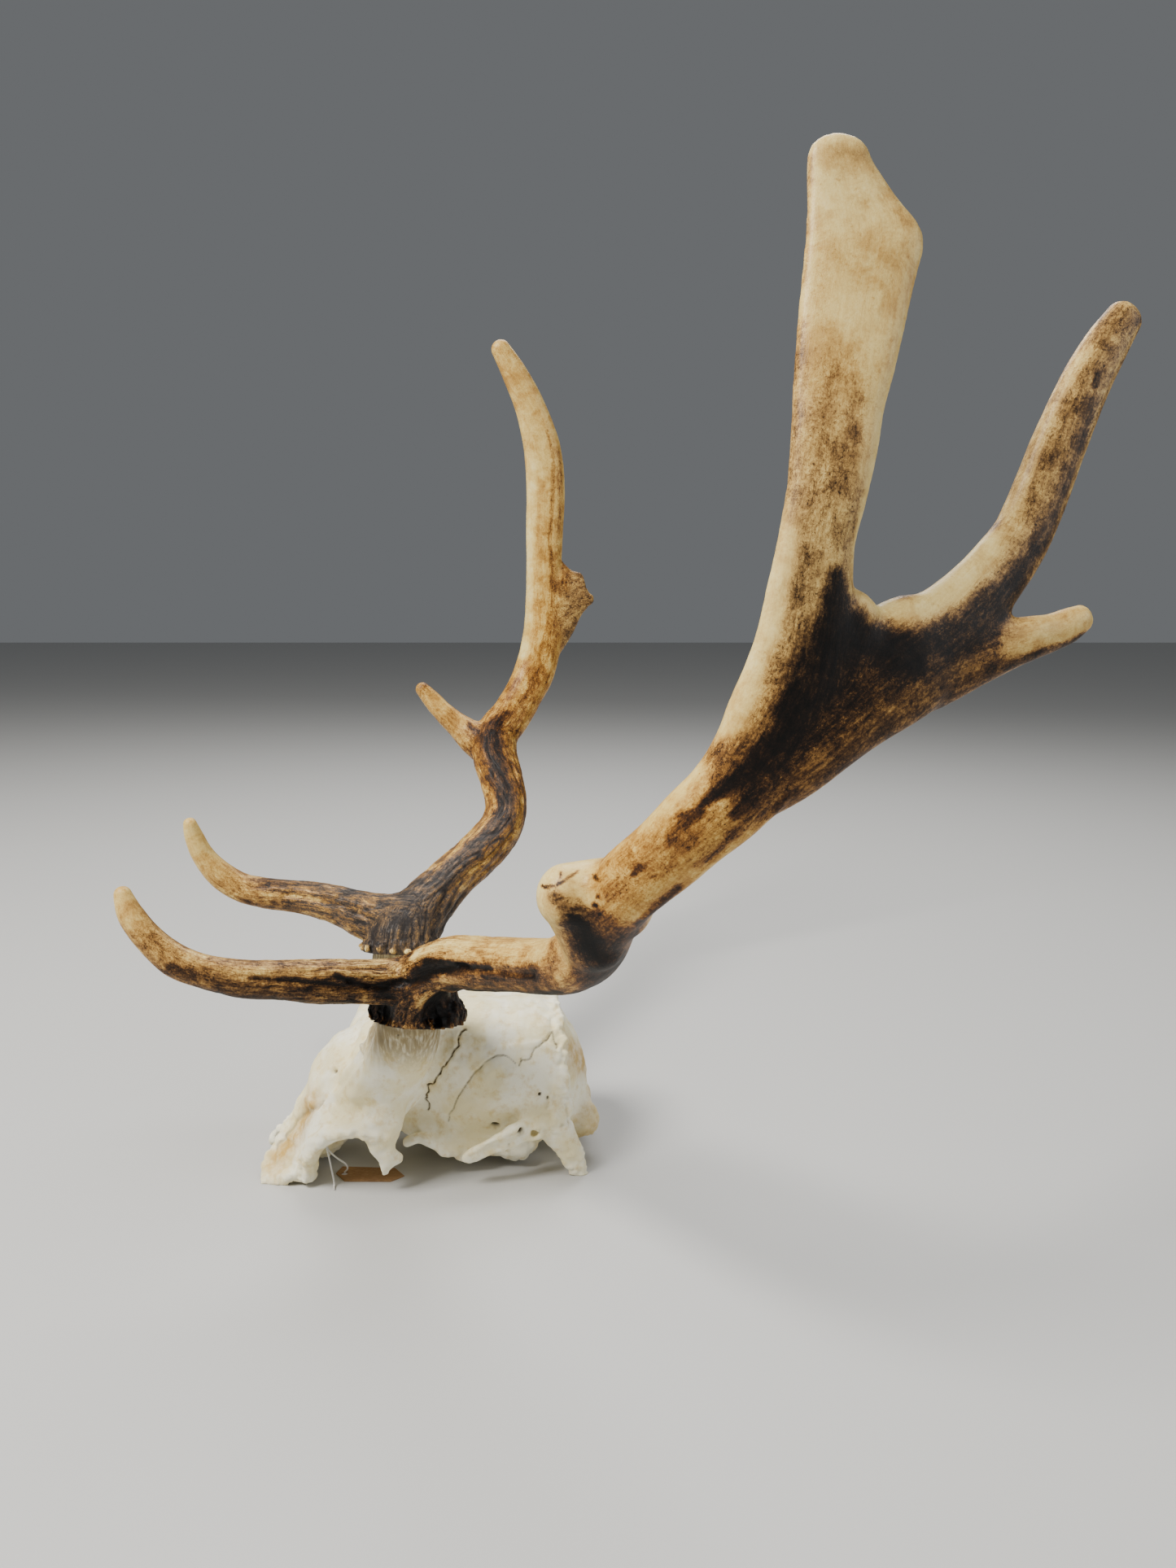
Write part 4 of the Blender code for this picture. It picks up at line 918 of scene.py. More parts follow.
# %% Antler
ANTLER_VOXEL = 0.95
JOINT_GAP = 0.15
RIDGE_HEIGHT = 1.0
MIDDLE_RIDGE = 0.62             # the ridge value that neither lifts the skin nor sinks it
LUMP_SIZE, LUMP_HEIGHT = 9.0, 0.6
GRIT_SIZE, GRIT_HEIGHT = 2.6, 0.35
GRIT_BAND = (14.0, 8.0)         # heights over the joint where the burr's grit fades out
BEAD_TONE = {"left": 0.46, "right": 0.16}       # the rubbed tips of the burr's beads
BEAD_BAND = {"left": (4.0, 1.5), "right": (9.0, 6.0)}   # heights over which that tone fades out
OVER_BEADS = (12.0, 17.0)       # heights over which forks begin to be filled
FORK_REACH = (12.0, 5.0)        # how near the second limb has to be for a point to be in a fork
SHEET_MIDDLE = -58.0            # y of the plane between the front and the back of the left antler
UNLISTED = [(0, 0.1)]           # what a limb gets where a table doesn't name it


def grow_antler(side, limbs, gnarl_table, ground_table, amber_table, strokes, carving, tree, seed):
    skins = [limb.skin() for limb in limbs.values()] + burr_skins(side, tree, seed)
    antler = fused(f"{side}_antler", skins, ANTLER_VOXEL)
    axis = burr_axis(side)
    joint = Vector(BURR_JOINT[side]) + axis * JOINT_GAP
    cut_flat(antler, joint, -axis)
    mesh = antler.data
    points = read_points(mesh)
    places = {name: limb.locate(points) for name, limb in limbs.items()}
    height = np.sort(np.stack([place.height for place in places.values()]), axis=0)
    above_joint = (points - np.array(joint)) @ np.array(axis)
    loose = smooth_step(0.0, 1.5, above_joint)
    in_fork = smooth_step(*FORK_REACH, height[1]) * smooth_step(*OVER_BEADS, above_joint)
    relax(mesh, loose, rounds=4)
    relax(mesh, in_fork, rounds=110, fill_only=True)
    relax(mesh, in_fork, rounds=12)

    points, normals = read_points(mesh), read_normals(mesh)
    places = {name: limb.locate(points) for name, limb in limbs.items()}
    share = shares(places)
    sheet = Place(points[:, 2], points[:, 0], SHEET_MIDDLE - points[:, 1], np.zeros(len(points)))
    canvas = places | {"sheet": sheet}
    gnarl, tone, amber = (
        sum(share[name] * along_profile(places[name], table.get(name, UNLISTED)) for name in limbs)
        for table in (gnarl_table, ground_table, amber_table))
    ridge = sum(share[name] * ridge_pattern(places[name], seed) for name in limbs)
    lumps = (0.12 + 0.35 * gnarl) * LUMP_HEIGHT * rough_noise(points, LUMP_SIZE, seed + 20)
    grit = rough_noise(points, GRIT_SIZE, seed + 30, layers=2) * smooth_step(*GRIT_BAND, above_joint)
    lift = gnarl * RIDGE_HEIGHT * (ridge - MIDDLE_RIDGE) + lumps
    lift += GRIT_HEIGHT * grit
    for limb, depth, face, path in carving:
        lift -= depth * brush(canvas[limb], path, side=face)
    write_points(mesh, points + normals * (lift * loose)[:, None])
    for limb, value, face, path in strokes:
        tone += (value - tone) * brush(canvas[limb], path, side=face)
    arm = points - np.array(joint)
    radius = np.linalg.norm(arm - above_joint[:, None] * np.array(axis), axis=1)
    bead_tip = smooth_step(BURR_RADIUS - 1.6, BURR_RADIUS + 0.8, radius)
    bead_tip *= smooth_step(*BEAD_BAND[side], above_joint)
    tone += (BEAD_TONE[side] - tone) * bead_tip

    mesh.shade_smooth()
    for name, values in (("tone", tone), ("ridge", ridge), ("gnarl", gnarl), ("amber", amber)):
        set_attribute(mesh, name, values)
    set_attribute(mesh, "grain", grain_on_corners(mesh, places), "FLOAT_VECTOR", "CORNER")
    return antler


left_antler = grow_antler("left", left_limbs, LEFT_GNARL, LEFT_GROUND, LEFT_AMBER, LEFT_STROKES,
                          LEFT_CARVING, bead_tree, seed=11)
right_antler = grow_antler("right", right_limbs, RIGHT_GNARL, RIGHT_GROUND, RIGHT_AMBER, RIGHT_STROKES,
                           RIGHT_CARVING, bead_tree, seed=41)
for antler in (left_antler, right_antler):
    print(antler.name, len(antler.data.vertices), "points")
LEFT_NODES = ("left_lower_beam", "left_brow_tine", "left_upper_beam", "left_blade", "left_rear_tine",
              "left_short_tine")
RIGHT_NODES = ("right_lower_beam", "right_brow_tine", "right_upper_beam", "right_trez_tine")
for antler, nodes in ((left_antler, LEFT_NODES), (right_antler, RIGHT_NODES)):
    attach(antler, "root")
    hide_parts(*nodes)

# %% [markdown]
# ## The skull
#
# The skull is built as the antlers are, from runs of cross-sections, a sheet for the forehead and a
# few round swellings. What stands on both sides of the head is given once and mirrored.

# %% Skull tables
BRAINCASE = [
    (-64, 0, 55, 26, 23, 90), (-56, 0, 52, 35, 28.5, 90), (-46, 0, 50.5, 38.5, 34, 90),
    (-34, 0, 50, 39.5, 38, 90), (-20, 0, 49.5, 40, 40.5, 90), (-6, 0, 49, 40, 41, 90),
    (6, 0, 48.5, 38.8, 39.3, 90), (14, 0, 46.5, 36.5, 36, 90), (20, 0, 43, 32.5, 29, 90),
    (26, 0, 37.5, 27.5, 20, 90), (31, 0, 32.5, 19, 13.5, 90), (34, 0, 30, 11, 8.5, 90),
]
SKULL_BASE = [
    (-74, 0, 27, 9, 18, 90), (-58, 0, 23, 11.5, 29, 90), (-42, 0, 18.5, 12, 31, 90),
    (-20, 0, 15.5, 11, 32, 90), (0, 0, 16, 9, 26, 90), (22, 0, 18, 7, 15, 90),
]
NASAL_CORE = [
    (-115, 0, 23, 20, 25, 90), (-111, 0, 27, 25, 22, 90), (-105, 0, 35, 29, 18.5, 90),
    (-95, 0, 43, 28, 20, 90), (-80, 0, 50, 31, 24, 90), (-60, 0, 52, 31, 28, 90),
]
NECK_CREST = [
    (9, -40, 30, 3.6, 3.6, 0), (13, -37.5, 48, 3.4, 3.4, 0), (14.5, -31, 64, 3.4, 3.4, 0),
    (14.5, -18, 77.5, 3.4, 3.4, 0), (14, 0, 83.5, 3.4, 3.4, 0), (14.5, 18, 77.5, 3.4, 3.4, 0),
    (14.5, 31, 64, 3.4, 3.4, 0), (13, 37.5, 48, 3.4, 3.4, 0), (9, 40, 30, 3.6, 3.6, 0),
]
SIDE_RUNS = {
    "pedicle": [
        (-81.5, 28, 50, 18, 24, 0), (-76.5, 37, 65, 17.3, 20.5, 0), (-69.5, 45, 79, 16.3, 17.5, 0),
        (-65.5, 50.5, 91, 16.3, 16.5, 0), (-64.5, 53, 100, 16.5, 16.5, 0), (-64.5, 54, 107, 16.5, 16.5, 0),
    ],
    "eye rim": [
        (-74, 46, 48, 7, 5.5, 90), (-86, 48, 40, 5.5, 4.5, 90), (-97, 47.5, 37, 4.8, 4.2, 90),
        (-107, 44, 33, 4.8, 4, 90), (-114.5, 39, 25, 5, 4, 90), (-118, 34, 14, 5.5, 4, 90),
        (-120, 30, 4, 6, 4, 90),
    ],
    "eye bar": [
        (-75, 42, 58, 12, 6, 90), (-78.5, 47, 45, 12, 5, 90), (-79.5, 48.5, 35, 10.2, 4.2, 90),
        (-79.3, 48.2, 27, 7.4, 3.7, 90), (-77.3, 47.5, 21.5, 5.6, 3.3, 90), (-77.4, 47, 16.5, 4, 3, 90),
    ],
    "cheek stub": [
        (2, 38, 31, 8, 5, 90), (-9, 45, 28.5, 6.4, 3.2, 90), (-21, 48.5, 25, 5.2, 2.4, 90),
        (-31, 48, 20.5, 4.4, 2.2, 90), (-37.5, 46.5, 16.5, 3.4, 2, 90),
    ],
    "cheek roll": [
        (-2, 43, 34, 2.2, 2.2, 90), (-12, 49, 33, 2, 2, 90), (-24, 51.5, 28.5, 1.9, 1.9, 90),
        (-34, 50, 22.5, 1.7, 1.7, 90), (-39, 47.5, 17.5, 1.6, 1.6, 90),
    ],
    "ear tube": [(-2, 34, 27, 5.6, 5.6, 0), (-1, 46, 28, 4.6, 4.6, 0)],
    "neck process": [
        (7, 38, 33, 10.5, 5.5, 90), (13.5, 38.5, 22, 8.8, 4, 90), (20, 38.5, 10, 6.6, 3.2, 90),
        (24, 38, 1, 4.8, 3, 90), (25, 38, -4, 4.4, 3, 90),
    ],
    "base edge": [
        (-68, 31, 20, 3.5, 2.6, 0), (-61, 33, 23.5, 3.5, 2.6, 0), (-53, 33, 19.5, 4, 2.6, 0),
        (-47, 33, 14, 4, 2.6, 0), (-43, 32.5, 14.5, 3.5, 2.6, 0), (-37, 31, 9.5, 3.5, 2.6, 0),
        (-29, 29, 14, 4, 3, 0),
    ],
    "neck side": [(13, 40, 42, 6, 5, 90), (15, 40.5, 28, 4, 3.4, 90), (20, 40, 12, 2.4, 2.4, 90)],
}
# Round swellings on each side, as centre and radii: the ear capsule, the neck-joint knuckle, two
# lumps of the boss behind the ear, two prongs under the eye and the filling behind the pedicle.
SKULL_BALLS = [
    ((-9, 24, 14), (13, 9.5, 11)), ((28, 13, 20.5), (10.5, 9, 11)),
    ((8, 39, 33), (8, 5.5, 8)), ((9, 41, 38), (4, 3.6, 3.6)),
    ((-78.6, 47, 13), (2.6, 2.2, 3.6)), ((-71.2, 46.5, 20), (3, 2.2, 4)),
    ((-56, 22, 74), (10, 10, 8.5)),
]
# Forehead rows: x, then heights at the midline, at two steps out and at the edge, half width.
ROOF = [
    (-62, 89, 88, 80, 58, 44), (-74, 86, 84, 74, 50, 49), (-84, 81.5, 79, 68, 42, 50),
    (-97, 72.5, 69, 56, 38, 49), (-107, 65.5, 61, 48, 33, 45.5), (-117, 54, 48, 37, 25, 41),
    (-121.5, 41, 34, 24, 13, 36.5), (-131.5, 24, 20, 13, 4, 32), (-144, 9, 7.5, 4, 0, 27),
]
# Where the front of the forehead broke away, seen from above: x and y of each missing part.
FRONT_BREAKS = [
    [(-131, 3), (-156, -26), (-156, 9)],
    [(-124, 38), (-140, 22), (-160, 16), (-160, 45)],
]
PLATE_THICKNESS = 5.0
PLATE_LEAN = (0.55, -0.25, -0.80)   # which way its underside lies: back, inwards and down
print("on each side of the skull:", ", ".join(SIDE_RUNS), "and", len(SKULL_BALLS), "swellings")

# %% [markdown]
# ## Building the skull's skin
#
# The braincase's cross-sections all stand upright, so its rounded back doesn't bulge. Once the
# shapes are fused, round tools cut the neck hole and the ear tubes, blocks take away what broke
# off in front, and planes trim the two pedicles and the feet that the skull stands on.

# %% Skull skin
SKULL_VOXEL = 1.0
ROUGH_VOXEL = 1.5
PEDICLE_LEAN = 4.5
PEDICLE_INSIDE = 20.0           # a pedicle is trimmed further out than this
PEDICLE_FOOT = 85.0             # and higher up than this
BREAK_HEIGHTS = (-10.0, 45.0)
EAR_HOLE = ((-1.4, 48.0, 28.2), 2.6)
NECK_HOLE = ((30.0, 0.0, 36.0), 9.5)


def forehead_skin():
    """The forehead's sheet: its top follows the roof table and its underside lies a plate lower."""
    fractions = (-1.0, -0.66, -0.33, 0.0, 0.33, 0.66, 1.0)
    top, low = [], []
    for x, middle, inner, outer, rim, half_width in smooth_rows(ROOF, spacing=2.5):
        heights = (rim, outer, inner, middle, inner, outer, rim)
        row = smooth_rows([(x, fraction * half_width, height)
                           for fraction, height in zip(fractions, heights)], steps=6)
        lean = np.full((len(row), 3), PLATE_LEAN)
        lean[:, 1] *= row[:, 1] / half_width
        top.append(row)
        low.append(row + lean * PLATE_THICKNESS)
    rows, columns = len(top), len(top[0])
    points = np.vstack(top + low)
    under = rows * columns
    faces = []
    for i in range(rows - 1):
        for j in range(columns - 1):
            a, b = i * columns + j, (i + 1) * columns + j
            faces += [(a, a + 1, b + 1, b), (under + a, under + b, under + b + 1, under + a + 1)]
    grid = np.arange(under).reshape(rows, columns)
    rim = [int(corner) for corner in (*grid[0], *grid[1:, -1], *grid[-1, -2::-1], *grid[-2:0:-1, 0])]
    faces += [(b, a, under + a, under + b) for a, b in zip(rim, rim[1:] + rim[:1])]
    return points, faces


def ball_skin(centre, radii):
    """A ball stretched to three radii."""
    bm = bmesh.new()
    bmesh.ops.create_icosphere(bm, subdivisions=4, radius=1.0)
    points = np.array([vert.co for vert in bm.verts]) * radii + centre
    faces = [tuple(vert.index for vert in face.verts) for face in bm.faces]
    bm.free()
    return points, faces


def round_tool(centre, along, radius, depth):
    bm = bmesh.new()
    bmesh.ops.create_cone(bm, cap_ends=True, segments=32, radius1=radius * MM, radius2=radius * MM,
                          depth=depth * MM)
    turn = Vector(along).to_track_quat("Z", "Y").to_matrix().to_4x4()
    bmesh.ops.transform(bm, matrix=Matrix.Translation(Vector(centre) * MM) @ turn, verts=bm.verts)
    return tool_object(bm)


def break_tool(outline):
    """A tall block with the given outline seen from above."""
    bm = bmesh.new()
    low, high = ([bm.verts.new((x * MM, y * MM, z * MM)) for x, y in outline] for z in BREAK_HEIGHTS)
    bm.faces.new(low[::-1])
    bm.faces.new(high)
    for a, b, c, d in zip(low, low[1:] + low[:1], high[1:] + high[:1], high):
        bm.faces.new((a, b, c, d))
    bmesh.ops.recalc_face_normals(bm, faces=bm.faces)
    return tool_object(bm)


def tool_object(bm):
    mesh = bpy.data.meshes.new("tool")
    bm.to_mesh(mesh)
    bm.free()
    return add_object("tool", mesh)


def drill(thing, tool):
    cut = thing.modifiers.new("drill", "BOOLEAN")
    cut.operation = "DIFFERENCE"
    cut.object = tool
    cut.solver = "EXACT"
    settled(thing)
    bpy.data.objects.remove(tool, do_unlink=True)


def on_side(rows, side):
    """The same rows on one side of the head. The right pedicle leans a little further forward."""
    lean = [PEDICLE_LEAN * min(max((row[2] - 60) / 36, 0), 1) if side > 0 else 0.0 for row in rows]
    return [(row[0] - back, side * row[1], *row[2:]) for row, back in zip(rows, lean)]


def skull_skins():
    upright = (1.0, 0.0, 0.0)
    skins = [Limb(rows, straight=upright).skin(fullness=2.2, cap=cap)
             for rows, cap in ((BRAINCASE, 0.2), (SKULL_BASE, 0.5), (NASAL_CORE, 0.1))]
    skins += [Limb(NECK_CREST).skin(), forehead_skin()]
    for side in (-1, 1):
        skins += [Limb(on_side(rows, side)).skin(cap=0.15 if name == "ear tube" else 0.6)
                  for name, rows in SIDE_RUNS.items()]
        skins += [ball_skin((x, side * y, z), radii) for (x, y, z), radii in SKULL_BALLS]
    return skins


def build_skull():
    skull = fused("skull_bone", skull_skins(), ROUGH_VOXEL)
    drill(skull, round_tool(NECK_HOLE[0], (1.0, 0.0, -0.2), NECK_HOLE[1], 50.0))
    (x, y, z), radius = EAR_HOLE
    for side in (-1, 1):
        drill(skull, round_tool((x, side * y, z), (0.0, side, 0.0), radius, 15.0))
    for outline in FRONT_BREAKS:
        drill(skull, break_tool(outline))
    remeshed(skull, SKULL_VOXEL)
    relax(skull.data, 1.0, rounds=3)
    relax(skull.data, 1.0, rounds=14, fill_only=True)
    relax(skull.data, 1.0, rounds=2)
    for side, sign in (("left", -1), ("right", 1)):
        axis = burr_axis(side)
        cut_flat(skull, Vector(BURR_JOINT[side]) - axis * JOINT_GAP, axis,
                 lambda place: sign * place.y > PEDICLE_INSIDE * MM and place.z > PEDICLE_FOOT * MM)
    cut_flat(skull, (0.0, 0.0, 0.0), (0.0, 0.0, -1.0))
    return skull


skull = build_skull()
print("skull:", len(skull.data.vertices), "points")

# %% [markdown]
# ## Sutures, ridges and holes in the bone
#
# The bones of a skull meet in wavy seams. A seam is a path of a few points that is given a zigzag
# and pressed in. The seams and the brow's forms are laid on as seen from the side, so they
# run over ridges and hollows without a break, and other forms are washed on in space. The seam
# down the forehead is laid onto the nearest skin. Small holes are deep dots, darkened inside
# with painted shade.

# %% Seams, forms and holes
# Paths as seen from the side: x and z.
CORONAL_SEAM = [(-36, 80), (-39, 75), (-43, 68.5), (-47.5, 61.5), (-50.5, 55.5), (-52.5, 52),
                (-55, 50.5), (-55.5, 45), (-57, 41.5), (-56, 38), (-57, 34)]
TEMPLE_SEAM = [(-46, 30), (-42, 42), (-37, 52), (-29, 62), (-20, 68), (-13, 67), (-10, 64)]
REAR_SEAM = [(-10, 64), (-5, 66), (0, 70), (6, 73), (11, 76), (13, 68)]
BROW_SLIT = [(-112.5, 45), (-119, 36), (-126, 27.5), (-132, 19.5), (-137, 13)]
NECK_CREASE = [(15, 43), (16.3, 38), (17.5, 31.5)]
BROW_GROOVE = [(-93, 76), (-98, 68), (-102.5, 59.5), (-108.5, 50.5), (-114.5, 43)]
BROW_RIDGE = [(-92, 80), (-97, 72), (-101.5, 63), (-107.5, 54.5), (-113.5, 46.5), (-120, 38), (-127, 29)]
BROW_HOLLOW = [(-86, 47), (-96, 46.5), (-105, 43)]
PEDICLE_HOLLOW = [(-90, 84), (-92, 75), (-96, 64), (-101, 54)]
EYE_RIM = [(-82, 34), (-92, 37), (-101, 36.5), (-107, 34), (-113, 28), (-117, 19), (-118, 5)]
# A seam: path, swing of its zigzag, step, width, depth and how dirty it is.
SEAMS = [
    (CORONAL_SEAM, 0.9, 1.8, 1.1, 1.2, 1.0), (TEMPLE_SEAM, 0.5, 2.6, 1.3, 0.6, 0.75),
    (REAR_SEAM, 1.4, 2.0, 1.3, 0.8, 0.75), (BROW_SLIT, 0.3, 4.0, 2.2, 1.8, 0.6),
    (NECK_CREASE, 0.4, 3.0, 2.0, 1.6, 0.5),
]
SEAM_INSIDE = 6                 # seams lie further than this from the head's midline
# A form in profile: path, lift, pebbly lift, radius, softness and how far out it begins.
PROFILE_FORMS = [
    (EYE_RIM, 1.5, 1.3, 2.4, 0.6, 30), (BROW_HOLLOW, -2.4, 0, 4.6, 0.8, 30),
    (PEDICLE_HOLLOW, -2.6, 0, 4.0, 0.8, 24), (BROW_GROOVE, -2.2, 0, 2.2, 0.6, 3),
    (BROW_RIDGE, 1.2, 0, 1.5, 0.6, 3),
]
# Paths and places on the left side, x, y and z, which are mirrored to the right side.
TEMPLE_LINE = [(-44, -42, 86), (-30, -36, 74), (-14, -36, 72), (4, -33, 72), (12, -32, 68)]
TEMPLE_HOLLOW = [(-50, -34, 74), (-55, -38, 60), (-60, -40, 48), (-60, -36, 36)]
NECK_EDGE = [(14, -40, 44), (14, -38, 53), (15, -32, 66), (14, -24, 76), (14, -8, 83)]
EAR_BOSS = [(8, -44, 34), (10, -42, 40)]
# A form in space: path, lift, pebbly lift and radius.
SPACE_FORMS = [
    (TEMPLE_LINE, 0.8, 0, 2.0), (TEMPLE_HOLLOW, -2.4, 0, 7.0), (NECK_EDGE, 0.32, 1.6, 4.0),
    (EAR_BOSS, 0, 1.6, 9.0),
]
EAR_MOUTH, EAR_LIP, EAR_FUNNEL = (-1.4, -42.0, 28.2), 5.6, 3.4
SMALL_HOLES = [((-20.9, -35.4, 28.4), 1.8), ((2.3, -39.9, 47), 0.8), ((6.4, -39.7, 45), 0.7),
               ((-70, -67, 94), 0.8), ((-104, -21, 58), 1.2), ((-8.9, -48.6, 31.4), 1.5),
               ((-15, -48.5, 24.5), 1.0)]
HOLE_SPREAD, HOLE_DEPTH = 1.3, 2.2      # as parts of a small hole's radius
YELLOW_REACH = 8.0
YELLOW_PARTS = [[(30, -13, 22), (32, -13, 17)], [(18, -20, 60), (26, -10, 52)],
                [(-118, -20, 38), (-136, -20, 12)]]
# The seam down the forehead, given as a seam is, with a path in space.
MIDLINE_SEAM = ([(-35, 0, 90), (-50, 0, 88), (-66, 0, 88), (-84, 0, 81), (-100, 0, 71), (-114, 0, 58)],
                0.9, 2.8, 1.2, 0.5, 0.5)
MIDLINE_SEED = 101
print(len(SEAMS) + 1, "seams and", len(SMALL_HOLES), "small holes")

# %% [markdown]
# ## How much of a form reaches each point
#
# Sculpting by hand is hard to repeat or adjust, so each form answers one question instead: how
# fully does it cover this point, from 0 to 1? A seam has many places, so a point finds the nearest
# one with a search tree. A form has a short path, so a point is measured against each piece of it.

# %% Seam and form cover
def in_profile(path):
    return [(x, 0, z) for x, z in path]


def zigzag(path, swing, step, seed):
    """A smooth path whose points are pushed about by up to one swing."""
    line = smooth_rows(path, spacing=step)
    push = np.random.default_rng(seed).uniform(-swing, swing, (len(line), 3))
    return smooth_rows(line + push, spacing=0.6)


def search_tree(places):
    """A tree that finds the nearest of many places."""
    tree = kdtree.KDTree(len(places))
    for number, place in enumerate(places):
        tree.insert(place, number)
    tree.balance()
    return tree


def nearness(points, line, width):
    """1 on a line of closely spaced places and 0 from one width away."""
    tree = search_tree(line)
    box_low, box_high = line.min(axis=0) - width, line.max(axis=0) + width
    near = np.nonzero(((points > box_low) & (points < box_high)).all(axis=1))[0]
    result = np.zeros(len(points))
    for i in near:
        result[i] = max(0.0, 1.0 - tree.find(points[i])[2] / width)
    return result


def spot(points, centre, radius, softness=0.5):
    gap = np.linalg.norm(points - np.array(centre, float), axis=1) / radius
    return smooth_step(1 + softness, 1 - softness, gap)


def wash(points, path, radius, softness=0.6):
    """Soft cover round a path in space, from 0 to 1."""
    cover = np.zeros(len(points))
    for a, b in zip(path, path[1:] or path):
        a, b = np.array(a, float), np.array(b, float)
        t = np.clip(((points - a) @ (b - a)) / max(float((b - a) @ (b - a)), 1e-9), 0, 1)
        gap = np.linalg.norm(points - a - t[:, None] * (b - a), axis=1) / radius
        cover = np.maximum(cover, smooth_step(1 + softness, 1 - softness, gap))
    return cover


print("zigzag down the forehead:", len(zigzag(*MIDLINE_SEAM[:3], MIDLINE_SEED)), "places")

# %% [markdown]
# ## Carving the skull
#
# Each point of the skin moves along its normal by the sum of all the forms that reach it. Noise
# comes first, so that the bone isn't smooth anywhere, and the cut faces under the antlers and
# feet are left flat. Dirt in the seams, painted shade in the small holes, and yellow are stored
# for the finish.

# %% Carving the skull
STALK_OUT = 30                  # further out than this, the skin belongs to a pedicle or the side
STALK_GREY = (24.0, 34.0)       # how far out the pedicles' grey begins and is full
STALK_BACK = -42                # x of its rear end


def carve_skull(skull):
    mesh = skull.data
    points, normals = read_points(mesh), read_normals(mesh)
    profile = points * (1, 0, 1)
    lift = 0.8 * rough_noise(points, size=13.0, seed=71)
    lift += 0.3 * rough_noise(points, size=3.6, seed=75, layers=2)
    pebbles = rough_noise(points, size=3.4, seed=83, layers=2)
    # The broken front and the lowest parts are crumbly.
    crumbs = abs(noise(points, size=5.0, seed=85)) + 0.6 * abs(noise(points, size=2.4, seed=86)) - 0.5
    broken = smooth_step(-117.0, -126.0, points[:, 0]) + smooth_step(20.0, 10.0, points[:, 2])
    lift += 1.8 * crumbs * np.clip(broken, 0, 1) * smooth_step(34.0, 24.0, points[:, 2])
    # One dark mark holds dirt in the seams and painted shade in the small holes.
    dirt, yellow = np.zeros(len(points)), np.zeros(len(points))
    for side in (1, -1):
        outwards = -side * points[:, 1]

        def turned(path):
            """A path on the left side as it is, or mirrored to the right side."""
            return [(x, side * y, z) for x, y, z in path]

        for path, swing, step, width, depth, stain in SEAMS:
            line = zigzag(in_profile(path), swing, step, 81 + side) * (1, 0, 1)
            groove = nearness(profile, line, width) * (outwards > SEAM_INSIDE)
            lift -= depth * groove
            dirt = np.maximum(dirt, stain * groove)
        for path, smooth, pebbly, radius, softness, start in PROFILE_FORMS:
            cover = wash(profile, in_profile(path), radius, softness) * (outwards > start)
            lift += (smooth + pebbly * pebbles) * cover
        for path, smooth, pebbly, radius in SPACE_FORMS:
            lift += (smooth + pebbly * pebbles) * wash(points, turned(path), radius)
        ear = turned([EAR_MOUTH])[0]
        lift += 1.2 * (spot(points, ear, EAR_LIP) - spot(points, ear, EAR_FUNNEL))
        for part in YELLOW_PARTS:
            yellow = np.maximum(yellow, wash(points, turned(part), YELLOW_REACH, softness=0.9))
        for centre, radius in SMALL_HOLES:
            hole = spot(points, turned([centre])[0], radius * HOLE_SPREAD)
            lift -= HOLE_DEPTH * radius * hole
            # Each small hole is also painted dark: painted shade inside the hole.
            dirt = np.maximum(dirt, hole)
    path, swing, step, width, depth, stain = MIDLINE_SEAM
    tree = search_tree(points)
    seam = points[[tree.find(place)[1] for place in zigzag(path, swing, step, MIDLINE_SEED)]]
    groove = nearness(points, seam, width)
    lift -= depth * groove
    dirt = np.maximum(dirt, stain * groove)

    below = {side: (np.array(BURR_JOINT[side]) - points) @ np.array(burr_axis(side)) for side in BURR_JOINT}
    below = np.where(points[:, 1] < 0, below["left"], below["right"])
    out = abs(points[:, 1])
    # The cut faces stay flat: the tops of the pedicles, and the feet at floor level.
    clear_of_cuts = np.where(out > STALK_OUT, below, 10)
    free = smooth_step(0.2, 2.0, clear_of_cuts) * smooth_step(0.0, 1.0, points[:, 2])
    stalk = smooth_step(30.0, 8.0, below) * smooth_step(*STALK_GREY, out) * (points[:, 0] < STALK_BACK)
    lift += 0.5 * stalk * noise(points, size=(2.0, 2.0, 16.0), seed=77)
    write_points(mesh, points + normals * (lift * free)[:, None])
    mesh.shade_smooth()
    # Stored for the finish: seam dirt together with the small holes' painted shade, the pedicles' grey and
    # the yellow.
    for name, values in (("dirt", dirt), ("stalk", stalk), ("yellow", yellow)):
        set_attribute(mesh, name, values)
    return skull


carve_skull(skull)
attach(skull, "root")
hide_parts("skull")
skull_points = read_points(skull.data)
print("skull box, mm:", np.round(skull_points.min(axis=0)), np.round(skull_points.max(axis=0)))

# %% [markdown]
# ## Writing shader maths as sums
#
# A finish is a tree of nodes, and its arithmetic is hard to read as a list of links. A small class
# wraps a socket and turns +, -, * and abs() into Math nodes, so a mask reads like a formula. Any
# other node comes from one method that takes its type, its settings and its sockets' values.

# %% Finish maker
class Wire:
    """A number or colour that changes over a surface."""

    def __init__(self, finish, socket):
        self.finish, self.socket = finish, socket

    def __add__(self, other):
        return self.finish.maths("ADD", self, other)

    def __sub__(self, other):
        return self.finish.maths("SUBTRACT", self, other)

    def __rsub__(self, other):
        return self.finish.maths("SUBTRACT", other, self)

    def __mul__(self, other):
        return self.finish.maths("MULTIPLY", self, other)

    def __abs__(self):
        return self.finish.maths("ABSOLUTE", self)

    __radd__, __rmul__ = __add__, __mul__


